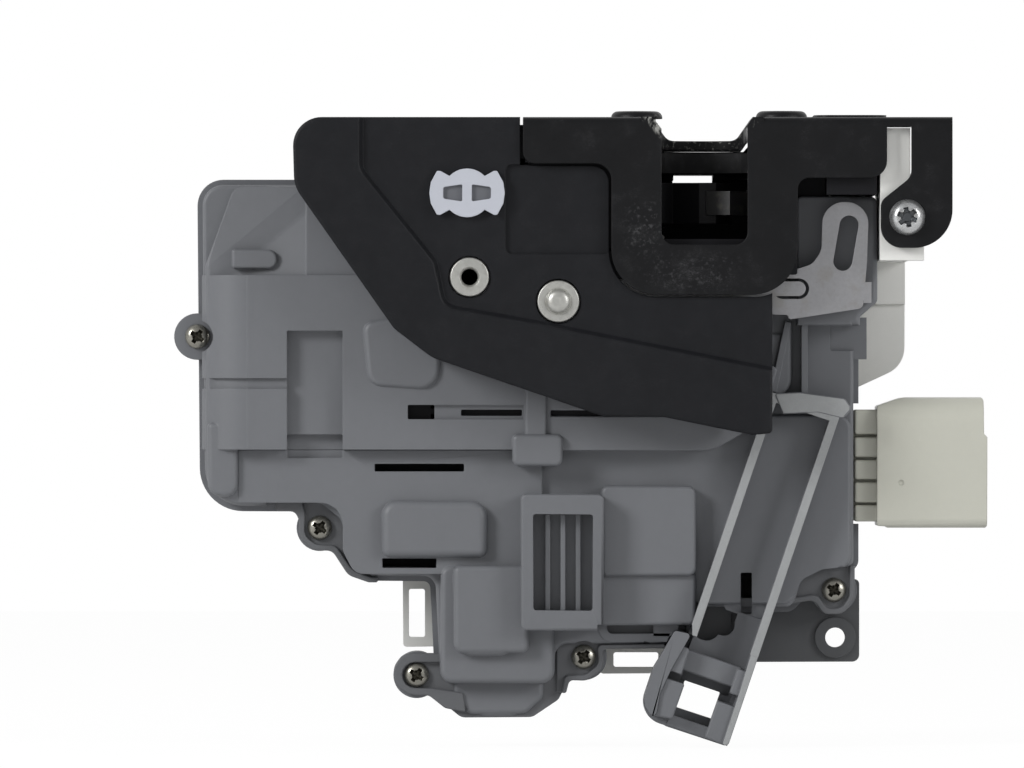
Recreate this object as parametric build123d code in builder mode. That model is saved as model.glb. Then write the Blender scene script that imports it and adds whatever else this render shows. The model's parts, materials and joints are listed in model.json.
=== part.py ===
from build123d import *

import math
import os

os.makedirs("parts", exist_ok=True)

# ---------------------------------------------------------------- sizes (mm)
# Origin: midway between the two latch screws, on the shut face.
# +X runs towards the connector, +Z out of the shut face, -Y faces the viewer.

WALL = 1.8  # moulded housing skin
SEAT = 0.3  # gap between neighbouring pieces that don't slide
RUN = 0.05  # radial running fit of a pivot

# depths, front to back
FLANGE_Y = -20.0  # front of the steel flange
PLATE_T = 2.0  # steel sheet of the latch plate
SHIELD_Y = -18.8  # front of the black shield
SHIELD_T = 2.0
SHIELD_BAND = 1.5  # raised band along the shield's edge
SKIRT_END_Y = -8.6
LEVER_Y = -13.0  # front of the release levers
LEVER_T = 2.0
UNDER_SHIELD_Y = -5.0  # housing surface beneath the shield
SKIN_Y = -1.0  # lowest front surface of the housing
SPLIT_Y = 6.0  # parting line of the two housing halves
REAR_Y = 20.0  # back of the rear housing
PLATE_END_Y = 28.0  # back edge of the latch plate
BACK_T = 1.6  # white rear cover sheet

# steel latch plate
PLATE_LEFT = -38.0
PLATE_RIGHT = 38.2
MOUTH_HALF = 9.0
MOUTH_BOTTOM = -26.7
MOUTH_END_Y = 9.0
TROUGH_Z = -4.6
U_HALF = 19.5
U_BOTTOM = -37.2
SCREW_HALF = 27.0  # half the distance between the latch screws
TAP_R = 3.4  # M8 tapped hole
COLLAR_R = 5.6
COLLAR_LEN = 5.0
EAR_X = 42.4
EAR_Z = -21.0
EAR_R = 5.5
EAR_SCREW_R = 2.0
EAR_HEAD_R = 3.6
EAR_HEAD_T = 2.4

# latch case and its moving parts
CASE_WALL = 2.0
CASE_FLOOR_Z = -27.5
CASE_LEFT = -29.5
CASE_RIGHT = 26.5
CASE_STEP_Y = -5.2
WING_Z = -9.5
WING_RIGHT_Z = -16.2
CLAW_X = -14.0
CLAW_Y = 4.0
CLAW_R = 20.0
CLAW_ARM_R = 24.3
CLAW_TOP_Z = -13.6
CLAW_T = 8.6
CORE_T = 5.0
JACKET = 1.2
PAWL_X = 16.5
PAWL_Y = 2.0
PAWL_REACH = 13.5
PAWL_T = 6.0
PAWL_HUB_R = 5.2
PIVOT_R = 4.0
RIVET_HEAD_R = 5.4
RIVET_HEAD_T = 1.6
BACKING_T = 2.5

# housing outline
HOUSE_LEFT = -106.7
HOUSE_TOP = -12.8
HOUSE_RIGHT = 32.8
HOUSE_UPPER_RIGHT = 36.5
HOUSE_FOOT = -104.0
RIM = 1.2  # flange round the parting line
RIM_T = 1.5
FLOOR_T = 2.0
EAR_BOSS_R = 4.9
CASE_SCREW_R = 1.4
CASE_SCREW_HEAD_R = 2.6
CASE_SCREW_HEAD_T = 1.9
CASE_SCREW_LEN = 14.0
SCREW_SEAT_Y = 1.0
SCREW_TIP_Y = SCREW_SEAT_Y + CASE_SCREW_LEN - CASE_SCREW_HEAD_T
CASE_SCREWS = [(-106.6, -45.9), (-80.8, -86.2), (-60.4, -117.2), (-25.2, -113.4), (27.5, -99.3)]
GASKET_W = 1.0
GASKET_T = 1.0

# hole for fixing the housing to its carrier
LUG_X = 27.9
LUG_Z = -109.4
LUG_R = 4.9
LUG_HOLE_R = 2.1
LUG_T = 2.5

# release levers in front of the housing
LEVER_PIVOT = (-30.6, -38.6)
OUTER_PIVOT = (-49.2, -33.5)
CLIP_AT = (-49.7, -15.9)
LEVER_RIVET_R = 2.5
LEVER_HEAD_R = 4.4
OUTER_RIVET_R = 2.9
OUTER_HEAD_R = 4.1
OUTER_BORE_R = 1.7
LEVER_HUB_R = 7.0
SLOT_W = 4.0
SLOT_LEN = 11.3

# cable guide moulded on the front cover
GUIDE_TILT = 18.7
GUIDE_HALF = 7.7
GUIDE_RAIL = 1.8
GUIDE_TOP = -50.0
GUIDE_END = -123.6
GUIDE_Y = -8.0
GUIDE_BACK_Y = 1.0
BRACKET_LEFT = -12.4
BRACKET_TOP = -107.0

# worm drives
WORM_PITCH = 2.4
WORM_R = 3.5
WORM_ROOT_R = 2.4
MESH_GAP = 0.35
WHEEL_T = 4.6
DRIVE_Y = 3.5
LOCK_TEETH = 32
SAFE_TEETH = 30
LOCK_MOTOR_X = -95.4
LOCK_MOTOR_TOP = -37.8
MOTOR_R = 7.6
SAFE_MOTOR_R = 6.2
MOTOR_LEN = 17.5
MOTOR_STANDOFF = 6.0  # from the can's end to the worm
SHAFT_GRIP = 7.0
SAFE_MOTOR_Z = -86.5
SAFE_MOTOR_LEFT = -65.6
CAP_T = 2.5
SHAFT_R = 1.0
AXLE_R = 2.5
WORM_LEN = 11.0
RACK_MODULE = 1.0
LOCK_PINION_TEETH = 12
SAFE_PINION_TEETH = 10

# connector
PLUG_LEFT = 37.0
PLUG_RIGHT = 59.9
PLUG_TOP = -58.8
PLUG_BOTTOM = -86.5
PLUG_Y = 0.0
PLUG_BACK_Y = 20.0
PLUG_WALL = 1.8
NECK_TOP = -60.3
NECK_BOTTOM = -85.1
NECK_Y = 3.0
NECK_BACK_Y = 17.0


# ------------------------------------------------------------------- helpers
def facing(y):
    """Plane at depth y seen from the front: local x is X, local y is Z."""
    return Plane(origin=(0, y, 0), x_dir=(1, 0, 0), z_dir=(0, -1, 0))


def seen_at(x, y, z, along=(1, 0, 0)):
    """Place of a piece that is drawn as seen from the front, with its own x along a direction."""
    return Plane(origin=(x, y, z), x_dir=along, z_dir=(0, -1, 0)).location


def guide_facing(y):
    """Front plane turned to run along the cable guide."""
    c = math.cos(math.radians(GUIDE_TILT))
    s = math.sin(math.radians(GUIDE_TILT))
    return Plane(origin=(39.45 * c, y, -39.45 * s), x_dir=(c, 0, -s), z_dir=(0, -1, 0))


def outline(*corners):
    """Closed face from (x, y, corner radius) points, added to the open sketch."""
    with BuildLine() as edge:
        FilletPolyline(
            *[(x, y) for x, y, r in corners],
            radius=[r for x, y, r in corners],
            close=True,
        )
    make_face(edge.edges())


def block(corners, back, front, soften=0.0):
    """Prism between two depths, its front edges rounded."""
    with BuildPart() as prism:
        with BuildSketch(facing(back)):
            outline(*corners)
        extrude(amount=back - front)
        if soften > 0:
            fillet(prism.faces().sort_by(Axis.Y)[0].edges(), radius=soften)
    return prism.part


def cavity(corners, back, front, inset):
    """The hollow inside a block, its outline drawn in by the wall."""
    with BuildPart() as prism:
        with BuildSketch(facing(back)):
            outline(*corners)
            offset(amount=-inset, kind=Kind.INTERSECTION)
        extrude(amount=back - front)
    return prism.part


# --------------------------------------------------------------- latch plate
FLANGE_BACK_Y = FLANGE_Y + PLATE_T
CASE_FRONT_Y = FLANGE_BACK_Y + SEAT
SHIELD_BACK_Y = SHIELD_Y + SHIELD_T
CASE_SHIELD_Y = SHIELD_BACK_Y + SEAT
EAR_OUTER_X = EAR_X + 9.5

with BuildPart() as latch_plate:
    with BuildSketch(Plane.XY):
        with BuildLine():
            Polyline(
                (PLATE_LEFT, FLANGE_Y),
                (EAR_OUTER_X, FLANGE_Y),
                (EAR_OUTER_X, -8),
                (PLATE_RIGHT, -8),
                (PLATE_RIGHT, PLATE_END_Y),
                (PLATE_LEFT, PLATE_END_Y),
                close=True,
            )
        make_face()
        fillet(vertices().group_by(Axis.Y)[-1], radius=4)
    extrude(amount=-PLATE_T)
    # front flange: left strip, U round the mouth, right arm
    with BuildSketch(facing(FLANGE_BACK_Y)):
        outline(
            (PLATE_LEFT, 0, 0),
            (PLATE_LEFT, -9.7, 2.5),
            (-U_HALF, -9.7, 3.5),
            (-U_HALF, U_BOTTOM, 9.5),
            (U_HALF, U_BOTTOM, 9.5),
            (U_HALF, -12.7, 2.5),
            (PLATE_RIGHT, -12.7, 3.5),
            (PLATE_RIGHT, 0, 0),
        )
    extrude(amount=PLATE_T)
    # ear for the cover screw, joined by a narrow bridge along the bend
    with BuildSketch(facing(FLANGE_BACK_Y)):
        outline(
            (EAR_X + 0.9, 0, 0),
            (EAR_OUTER_X, 0, 0),
            (EAR_OUTER_X, EAR_Z - 6.4, 8.0),
            (EAR_X - EAR_R, EAR_Z - 6.4, 4.5),
            (EAR_X - EAR_R, EAR_Z + 3.4, 2.5),
            (EAR_X + 0.9, EAR_Z + 8.5, 3.0),
        )
        with Locations((EAR_X, EAR_Z)):
            Circle(EAR_R)
            Circle(EAR_SCREW_R + 0.2, mode=Mode.SUBTRACT)
    extrude(amount=PLATE_T)
    # bend along the top front edge
    fillet(
        latch_plate.edges()
        .filter_by(Axis.X)
        .filter_by(lambda e: abs(e.center().Y - FLANGE_Y) < 0.01 and e.center().Z > -0.1 and e.length > 1),
        radius=1.6,
    )
    # raised land over the right screw
    with BuildSketch(Plane.XY):
        with Locations(((PLATE_RIGHT + MOUTH_HALF + 14) / 2, (FLANGE_Y + 3 + PLATE_END_Y) / 2)):
            RectangleRounded(PLATE_RIGHT - MOUTH_HALF - 14, PLATE_END_Y - FLANGE_Y - 3, 3.5)
    extrude(amount=0.45)
    # trough pressed into the plate along the striker's way
    with BuildSketch(facing(PLATE_END_Y)):
        Polygon(
            (-13.4, 0),
            (12.6, 0),
            (8.2, TROUGH_Z - PLATE_T),
            (-8.7, TROUGH_Z - PLATE_T),
            align=None,
        )
    extrude(amount=PLATE_END_Y - FLANGE_Y)
    with BuildSketch(facing(PLATE_END_Y + 1)):
        trough_top = [(-10.9, 0, 1.5), (-11.2, 1, 0), (10.4, 1, 0), (10.1, 0, 1.5)]
        outline(*trough_top, (6.9, TROUGH_Z, 2.5), (-7.4, TROUGH_Z, 2.5))
    extrude(amount=PLATE_END_Y - FLANGE_Y + 2, mode=Mode.SUBTRACT)
    # striker slot through the trough and the flange
    with BuildSketch(Plane.XY.offset(-2)):
        with Locations((0, FLANGE_Y)):
            SlotOverall(2 * (MOUTH_END_Y - FLANGE_Y), 2 * MOUTH_HALF, rotation=90)
    extrude(amount=-10, mode=Mode.SUBTRACT)
    with BuildSketch(facing(FLANGE_BACK_Y + 1)):
        outline(
            (-MOUTH_HALF, TROUGH_Z + 2, 0),
            (MOUTH_HALF, TROUGH_Z + 2, 0),
            (MOUTH_HALF, MOUTH_BOTTOM, 2.6),
            (-MOUTH_HALF, MOUTH_BOTTOM, 2.6),
        )
    extrude(amount=PLATE_T + 2, mode=Mode.SUBTRACT)
    # tapped collars for the two latch screws
    with BuildSketch(Plane.XY.offset(-PLATE_T)):
        with Locations((-SCREW_HALF, 0), (SCREW_HALF, 0)):
            Circle(COLLAR_R)
    extrude(amount=-COLLAR_LEN)
    with BuildSketch(Plane.XY.offset(1)):
        with Locations((-SCREW_HALF, 0), (SCREW_HALF, 0)):
            Circle(TAP_R)
    extrude(amount=-1 - PLATE_T - COLLAR_LEN - 1, mode=Mode.SUBTRACT)
    # seats of the claw and pawl rivets
    with BuildSketch(Plane.XY.offset(1)):
        with Locations((CLAW_X, CLAW_Y), (PAWL_X, PAWL_Y)):
            Circle(PIVOT_R)
    extrude(amount=-20, mode=Mode.SUBTRACT)

latch_plate.part.label = "latch_plate"
export_step(latch_plate.part, "parts/latch_plate.step")

# ---------------------------------------------------- latch case and backing
COLLAR_CLEAR_R = COLLAR_R + SEAT
CASE_BACK_Y = PLATE_END_Y
CASE_TOP_Z = -PLATE_T
CASE_IN_FLOOR_Z = CASE_FLOOR_Z + CASE_WALL
CHANNEL_HALF = MOUTH_HALF + 1.0

with BuildPart() as latch_case:
    # tub round the claw and pawl, stepped back on the right behind the housing
    with BuildSketch(Plane.XY.offset(CASE_TOP_Z)):
        outline(
            (CASE_LEFT, CASE_SHIELD_Y, 1),
            (0.7 - U_HALF, CASE_SHIELD_Y + 0.01, 0),
            (0.7 - U_HALF, CASE_FRONT_Y, 0.5),
            (U_HALF - 0.7, CASE_FRONT_Y, 1),
            (U_HALF - 0.7, CASE_STEP_Y, 0.5),
            (CASE_RIGHT, CASE_STEP_Y, 1),
            (CASE_RIGHT, CASE_BACK_Y, 3),
            (CASE_LEFT, CASE_BACK_Y, 3),
        )
    extrude(amount=CASE_FLOOR_Z - CASE_TOP_Z)
    # wings under the plate, solid round the latch screws
    with BuildSketch(Plane.XY.offset(CASE_TOP_Z)):
        with Locations(((PLATE_LEFT + 0.4 + CASE_LEFT) / 2, (CASE_FRONT_Y + CASE_BACK_Y) / 2)):
            Rectangle(CASE_LEFT - PLATE_LEFT - 0.4, CASE_BACK_Y - CASE_FRONT_Y)
    extrude(amount=WING_Z - CASE_TOP_Z)
    with BuildSketch(Plane.XY.offset(CASE_TOP_Z)):
        with Locations(((U_HALF + 36.1) / 2 - 0.5, (CASE_FRONT_Y + CASE_BACK_Y) / 2)):
            Rectangle(36.1 - U_HALF + 1, CASE_BACK_Y - CASE_FRONT_Y)
    extrude(amount=-12.4 - CASE_TOP_Z)
    with BuildSketch(Plane.XY.offset(CASE_TOP_Z)):
        with Locations(((25.6 + 36.1) / 2, (CASE_FRONT_Y + CASE_BACK_Y) / 2)):
            Rectangle(36.1 - 25.6, CASE_BACK_Y - CASE_FRONT_Y)
    extrude(amount=WING_RIGHT_Z - CASE_TOP_Z)
    # room for the claw, the pawl and their springs
    with BuildSketch(Plane.XY.offset(CASE_IN_FLOOR_Z)):
        outline(
            (CASE_LEFT + CASE_WALL, CASE_SHIELD_Y + 0.9, 2),
            (0.9 - U_HALF, CASE_SHIELD_Y + 0.89, 0),
            (0.9 - U_HALF, CASE_FRONT_Y + 1.2, 0.3),
            (MOUTH_HALF + 2, CASE_FRONT_Y + 1.2, 2),
            (MOUTH_HALF + 2, CASE_STEP_Y + 1, 1),
            (CASE_RIGHT - CASE_WALL, CASE_STEP_Y + 1, 1),
            (CASE_RIGHT - CASE_WALL, CASE_BACK_Y - CASE_WALL, 2),
            (CASE_LEFT + CASE_WALL, CASE_BACK_Y - CASE_WALL, 2),
        )
    extrude(amount=-12.8 - CASE_IN_FLOOR_Z, mode=Mode.SUBTRACT)
    # striker channel above the claw
    with BuildSketch(Plane.XY.offset(CASE_IN_FLOOR_Z)):
        with Locations((0, CASE_FRONT_Y)):
            SlotOverall(2 * (12 - CASE_FRONT_Y), 2 * CHANNEL_HALF, rotation=90)
    extrude(amount=-CASE_IN_FLOOR_Z, mode=Mode.SUBTRACT)
    # mouth in the front wall
    with BuildSketch(facing(CASE_FRONT_Y + 3)):
        with Locations((0, (MOUTH_BOTTOM + CASE_TOP_Z) / 2)):
            Rectangle(2 * CHANNEL_HALF, CASE_TOP_Z - MOUTH_BOTTOM + 0.4)
    extrude(amount=6, mode=Mode.SUBTRACT)
    # pressed trough of the plate lies in the case
    with BuildSketch(facing(CASE_BACK_Y + 1)):
        Polygon(
            (-14.0, CASE_TOP_Z + 0.5),
            (13.2, CASE_TOP_Z + 0.5),
            (8.6, TROUGH_Z - PLATE_T - SEAT),
            (-9.1, TROUGH_Z - PLATE_T - SEAT),
            align=None,
        )
    extrude(amount=CASE_BACK_Y - CASE_FRONT_Y + 2, mode=Mode.SUBTRACT)
    # narrow slit through the back wall
    with BuildSketch(facing(CASE_BACK_Y + 1)):
        with Locations((-2.0, -12.4)):
            Rectangle(8.4, 1.5)
    extrude(amount=CASE_BACK_Y - 8, mode=Mode.SUBTRACT)
    # latch screw collars and the rivets' way through
    with BuildSketch(Plane.XY):
        with Locations((-SCREW_HALF, 0), (SCREW_HALF, 0)):
            Circle(COLLAR_CLEAR_R)
    extrude(amount=-PLATE_T - COLLAR_LEN - SEAT, mode=Mode.SUBTRACT)
    with BuildSketch(Plane.XY):
        with Locations((-SCREW_HALF, 0), (SCREW_HALF, 0)):
            Circle(TAP_R + 1)
    extrude(amount=WING_RIGHT_Z - 8, mode=Mode.SUBTRACT)
    with BuildSketch(Plane.XY):
        with Locations((CLAW_X, CLAW_Y), (PAWL_X, PAWL_Y)):
            Circle(PIVOT_R)
    extrude(amount=CASE_FLOOR_Z - 1, mode=Mode.SUBTRACT)

latch_case.part.label = "latch_case"
export_step(latch_case.part, "parts/latch_case.step")

with BuildPart() as backing_plate:
    with BuildSketch(Plane.XY.offset(CASE_FLOOR_Z)):
        outline(
            (CLAW_X - 9, CLAW_Y - 10, 4),
            (PAWL_X + 8, PAWL_Y - 6, 4),
            (PAWL_X + 8, CASE_BACK_Y - 6, 4),
            (CLAW_X - 9, CASE_BACK_Y - 3, 4),
        )
        with Locations((CLAW_X, CLAW_Y), (PAWL_X, PAWL_Y)):
            Circle(PIVOT_R, mode=Mode.SUBTRACT)
    extrude(amount=-BACKING_T)

backing_plate.part.label = "backing_plate"
export_step(backing_plate.part, "parts/backing_plate.step")


def pivot_rivet(x, y):
    """Headed rivet from the shut face to the backing plate."""
    foot = CASE_FLOOR_Z - BACKING_T
    with BuildPart() as rivet:
        with BuildSketch(Plane(origin=(x, y, 0), x_dir=(1, 0, 0), z_dir=(0, -1, 0))):
            with BuildLine():
                Line((0, RIVET_HEAD_T), (RIVET_HEAD_R - 1.4, RIVET_HEAD_T))
                ThreePointArc(
                    (RIVET_HEAD_R - 1.4, RIVET_HEAD_T),
                    (RIVET_HEAD_R - 0.4, RIVET_HEAD_T - 0.4),
                    (RIVET_HEAD_R, 0),
                )
                Polyline(
                    (RIVET_HEAD_R, 0),
                    (PIVOT_R, 0),
                    (PIVOT_R, foot),
                    (PIVOT_R + 1.2, foot),
                    (PIVOT_R + 0.8, foot - 1.2),
                    (0, foot - 1.2),
                    (0, RIVET_HEAD_T),
                )
            make_face()
        revolve(axis=Axis((x, y, 0), (0, 0, 1)))
    return rivet.part


with BuildPart() as claw_rivet:
    add(pivot_rivet(CLAW_X, CLAW_Y))

claw_rivet.part.label = "claw_rivet"
export_step(claw_rivet.part, "parts/claw_rivet.step")

with BuildPart() as pawl_rivet:
    add(pivot_rivet(PAWL_X, PAWL_Y))

pawl_rivet.part.label = "pawl_rivet"
export_step(pawl_rivet.part, "parts/pawl_rivet.step")

with BuildPart() as mouth_buffer:
    with BuildSketch(Plane.XY.offset(TROUGH_Z - PLATE_T - 2 * SEAT)):
        with Locations((0, CASE_FRONT_Y)):
            SlotOverall(2 * (12 - CASE_FRONT_Y), 2 * CHANNEL_HALF, rotation=90)
        with Locations((0, CASE_FRONT_Y)):
            SlotOverall(2 * (9 - CASE_FRONT_Y), 2 * (CHANNEL_HALF - 1), rotation=90, mode=Mode.SUBTRACT)
        with Locations((0, MOUTH_END_Y - 5 - 50)):
            Rectangle(60, 100, mode=Mode.SUBTRACT)
    extrude(amount=-4.2)

mouth_buffer.part.label = "mouth_buffer"
export_step(mouth_buffer.part, "parts/mouth_buffer.step")

# ------------------------------------------------------------- claw and pawl
OPEN_TURN = -60.0  # the claw is modelled open, turned back from closed


def polar(r, degrees):
    a = math.radians(degrees)
    return (r * math.cos(a), r * math.sin(a))


def claw_face(hub, arm, front_arm, slot_low, slot_high, tooth_cut):
    """Fork-shaped claw round its pivot, drawn in the open position."""
    Circle(hub)
    with BuildLine() as rear:
        a = Line(polar(0, 0), polar(arm, 50 + OPEN_TURN))
        b = RadiusArc(a @ 1, polar(arm, slot_high + OPEN_TURN), arm)
        Line(b @ 1, a @ 0)
    make_face(rear.edges())
    with BuildLine() as front:
        a = Line(polar(0, 0), polar(front_arm, slot_low + OPEN_TURN))
        b = RadiusArc(a @ 1, polar(front_arm, -48 + OPEN_TURN), front_arm)
        Line(b @ 1, a @ 0)
    make_face(front.edges())
    # pawl tooth and half-latch notch, cut on the pawl's own arc
    tooth = Vector(PAWL_X - CLAW_X, PAWL_Y - CLAW_Y).rotate(Axis.Z, OPEN_TURN)
    with Locations((tooth.X, tooth.Y)):
        Circle(tooth_cut, mode=Mode.SUBTRACT)


with BuildPart() as claw_core:
    core_z = CLAW_TOP_Z - (CLAW_T - CORE_T) / 2
    with BuildSketch(Plane.XY.offset(core_z).move(Location((CLAW_X, CLAW_Y, 0)))):
        claw_face(8.4, CLAW_ARM_R, CLAW_R - JACKET, -20 - 4, 20 + 3, PAWL_REACH + SEAT)
        Circle(PIVOT_R + RUN, mode=Mode.SUBTRACT)
    extrude(amount=-CORE_T)

claw_core.part.label = "claw_core"
export_step(claw_core.part, "parts/claw_core.step")

with BuildPart() as claw_jacket:
    with BuildSketch(Plane.XY.offset(CLAW_TOP_Z).move(Location((CLAW_X, CLAW_Y, 0)))):
        claw_face(9.8, CLAW_R, CLAW_R, -20, 20, PAWL_REACH + 3)
        Circle(PIVOT_R + 4 * RUN, mode=Mode.SUBTRACT)
    extrude(amount=-CLAW_T)
    add(claw_core.part, mode=Mode.SUBTRACT)

claw_jacket.part.label = "claw_jacket"
export_step(claw_jacket.part, "parts/claw_jacket.step")

PAWL_LIFTED = 123.0
PAWL_TOP_Z = CLAW_TOP_Z - (CLAW_T - PAWL_T) / 2

with BuildPart() as pawl_core:
    with BuildSketch(Plane.XY.offset(PAWL_TOP_Z).move(Location((PAWL_X, PAWL_Y, 0)))):
        Circle(PAWL_HUB_R)
        with BuildLine():
            a = Line(polar(PAWL_HUB_R, PAWL_LIFTED + 55), polar(PAWL_REACH, PAWL_LIFTED))
            b = RadiusArc(a @ 1, polar(PAWL_REACH, PAWL_LIFTED - 22), PAWL_REACH)
            c = Line(b @ 1, polar(PAWL_HUB_R, PAWL_LIFTED - 75))
            Polyline(c @ 1, (0, 0), a @ 0)
        make_face()
        Circle(PIVOT_R + RUN, mode=Mode.SUBTRACT)
    extrude(amount=-PAWL_T)

pawl_core.part.label = "pawl_core"
export_step(pawl_core.part, "parts/pawl_core.step")

# ------------------------------------------------------------- front cover
BLOCK_X = CASE_RIGHT + 2 * SEAT  # housing wall beside the latch case
UNDER_CASE_Z = CASE_FLOOR_Z - BACKING_T - 1.2 - SEAT

house = [
    (HOUSE_LEFT, HOUSE_TOP, 5.5),
    (CASE_LEFT - SEAT - 1, HOUSE_TOP, 2),
    (CASE_LEFT - SEAT - 1, UNDER_CASE_Z, 1),
    (HOUSE_RIGHT, UNDER_CASE_Z - 0.01, 3),
    (HOUSE_RIGHT, -95.0, 2.5),
    (26.0, -96.5, 4),
    (18.6, HOUSE_FOOT, 3),
    (-1.0, HOUSE_FOOT - 0.01, 2),
    (-2.0, -111.7, 2),
    (-30.0, -111.8, 1.5),
    (-30.2, -120.1, 4),
    (-56.5, -120.2, 4),
    (-57.6, -97.5, 1.5),
    (-70.6, -97.4, 2.5),
    (-77.0, -90.5, 2.5),
    (-82.5, -82.8, 3),
    (HOUSE_LEFT + 0.6, -82.7, 9.2),
]
# shoulder beside the latch case, behind the release lever
SHOULDER_TOP = WING_RIGHT_Z - SEAT
SHOULDER_FOOT = -43.5
shoulder = [
    (BLOCK_X, SHOULDER_TOP, 1),
    (HOUSE_UPPER_RIGHT, SHOULDER_TOP - 0.01, 1.5),
    (HOUSE_UPPER_RIGHT, -38.6, 1.5),
    (HOUSE_RIGHT, -41.8, 1.5),
    (HOUSE_RIGHT - 0.01, SHOULDER_FOOT, 0),
    (BLOCK_X, SHOULDER_FOOT, 0),
]
shoulder_low = [
    (19.6, UNDER_CASE_Z, 0.5),
    (HOUSE_RIGHT - 0.5, UNDER_CASE_Z - 0.01, 0.5),
    (HOUSE_RIGHT - 0.51, SHOULDER_FOOT, 1),
    (19.6, SHOULDER_FOOT, 1.5),
]
flap = [
    (19.6, SHOULDER_TOP, 1),
    (BLOCK_X + 4, SHOULDER_TOP - 0.01, 1),
    (BLOCK_X + 4, SHOULDER_FOOT, 0),
    (19.61, SHOULDER_FOOT, 0),
]
# raised areas: corners, front level, edge softening
left_field = [
    (HOUSE_LEFT + 8, HOUSE_TOP - 1.5, 3),
    (-38.0, HOUSE_TOP - 1.6, 2),
    (-38.0, -66.0, 6),
    (-52.0, -69.4, 3),
    (-88.0, -69.5, 4),
    (-89.0, -81.2, 3),
    (HOUSE_LEFT + 2.0, -81.3, 7.5),
    (HOUSE_LEFT + 1.9, -31.0, 2),
]
under_shield = [
    (-86.0, HOUSE_TOP - 1.5, 3),
    (-33.0, HOUSE_TOP - 1.6, 2),
    (-33.0, UNDER_CASE_Z - 2, 2),
    (18.6, UNDER_CASE_Z - 2.01, 2),
    (18.5, -59.0, 4),
    (-30.0, -55.0, 6),
    (-66.0, -38.0, 8),
]
trapezoid = [(-71.8, -43.0, 2.2), (-54.6, -40.0, 2.2), (-55.6, -57.2, 4), (-70.6, -56.2, 3.2)]
mid_field = [(-76.5, -78.5, 2), (-34.0, -78.4, 2), (-34.0, -95.9, 2), (-70.2, -96.0, 3)]
motor_hood = [(-67.8, -80.4, 3), (-45.4, -80.5, 3), (-45.6, -92.5, 3), (-67.6, -92.6, 3)]
foot_field = [(-55.0, -94.0, 2), (-31.6, -94.1, 2), (-31.6, -118.7, 3.5), (-55.1, -118.6, 3.5)]
foot_block = [(-52.9, -94.5, 2), (-38.4, -94.6, 2), (-39.6, -113.0, 3.5), (-51.9, -113.1, 3.5)]
foot_lip = [(-51.0, -110.0, 1), (-35.4, -110.1, 1), (-36.6, -126.0, 5), (-49.8, -126.1, 5)]
right_field = [(-42.0, -62.5, 3), (31.0, -62.4, 3), (31.0, -93.6, 3), (17.4, -102.2, 3), (-42.0, -102.3, 3)]
right_pad = [(-21.5, -77.3, 2), (-1.7, -77.4, 2.5), (-1.6, -96.2, 2.5), (-21.4, -96.3, 2)]
low_pad = [(-22.0, -97.5, 2), (-3.0, -97.6, 2), (-3.6, -110.2, 3), (-22.1, -110.3, 3)]
window_frame = [(-38.4, -79.0, 1.2), (-21.0, -79.1, 1.2), (-21.1, -107.7, 1.2), (-38.3, -107.6, 1.2)]
window_hole = [(-35.9, -83.2, 0.6), (-23.3, -83.3, 0.6), (-23.4, -103.5, 0.6), (-35.8, -103.4, 0.6)]
WINDOW_Y = -11.0
WINDOW_FLOOR_Y = WINDOW_Y + 5.4
relief = [
    (left_field, -3.5, 0.9),
    (under_shield, UNDER_SHIELD_Y, 0.9),
    (trapezoid, -7.6, 1.6),
    (mid_field, -3.4, 0.8),
    (motor_hood, -5.2, 2.4),
    (foot_field, -4.0, 1.2),
    (foot_block, -7.0, 1.6),
    (right_field, -2.2, 0.7),
    (right_pad, -5.4, 1.2),
    (low_pad, -4.2, 1.0),
    (window_frame, WINDOW_Y, 0.5),
]


def house_face(inset):
    """Body outline of the housing, drawn in from the rim."""
    outline(*house)
    if inset > 0:
        offset(amount=-inset, kind=Kind.INTERSECTION)


def motor_bulge(radius, ends, flat_y):
    """Half-round hood over the upright lock motor, front part only."""
    top, bottom = ends
    with BuildPart() as hood:
        with BuildSketch(Plane((LOCK_MOTOR_X - 0.6, DRIVE_Y, top), (1, 0, 0), (0, 0, -1))):
            Circle(radius)
        extrude(amount=top - bottom)
        split(bisect_by=Plane(origin=(0, flat_y, 0), z_dir=(0, -1, 0)))
    return hood.part


LOCK_MOTOR_AT = Plane(origin=(LOCK_MOTOR_X, DRIVE_Y, LOCK_MOTOR_TOP), x_dir=(1, 0, 0), z_dir=(0, 0, -1))
SAFE_MOTOR_AT = Plane(origin=(SAFE_MOTOR_LEFT, DRIVE_Y, SAFE_MOTOR_Z), x_dir=(0, 0, 1), z_dir=(1, 0, 0))


def motor_room():
    """Space of the two motor cans, a seat gap wider than they are."""
    with BuildPart() as room:
        for place, radius in ((LOCK_MOTOR_AT, MOTOR_R), (SAFE_MOTOR_AT, SAFE_MOTOR_R)):
            with BuildSketch(place.offset(-SEAT)):
                Circle(radius + SEAT)
            extrude(amount=MOTOR_LEN + 2 * SEAT)
    return room.part


def fixing_ears(front, back):
    """The five screw ears along the rim."""
    with BuildPart() as ears:
        with BuildSketch(facing(back)):
            with Locations(*CASE_SCREWS):
                Circle(EAR_BOSS_R)
        extrude(amount=back - front)
    return ears.part


BULGE_R = 10.6
SLOPE_LEN = 26.0
MOTOR_FIELD_Y = -3.5

# openings through the front skin: centre x, centre z, width, height
slots = [
    (-59.9, -61.65, 5.0, 3.1),
    (-47.5, -61.65, 19.8, 1.2),
    (-59.8, -73.5, 18.9, 1.6),
    (-61.9, -93.6, 11.3, 2.1),
    (9.0, -100.2, 2.4, 8.7),
]
# blind pockets: centre x, centre z, width, height, floor depth, corner
pockets = [
    (-81.7, -57.4, 11.8, 24.2, -1.7, 0.8),
    (-81.7, -69.0, 11.8, 4.6, -2.4, 0.6),
    (29.6, -46.3, 6.0, 5.2, 0.0, 0.5),
]


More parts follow.
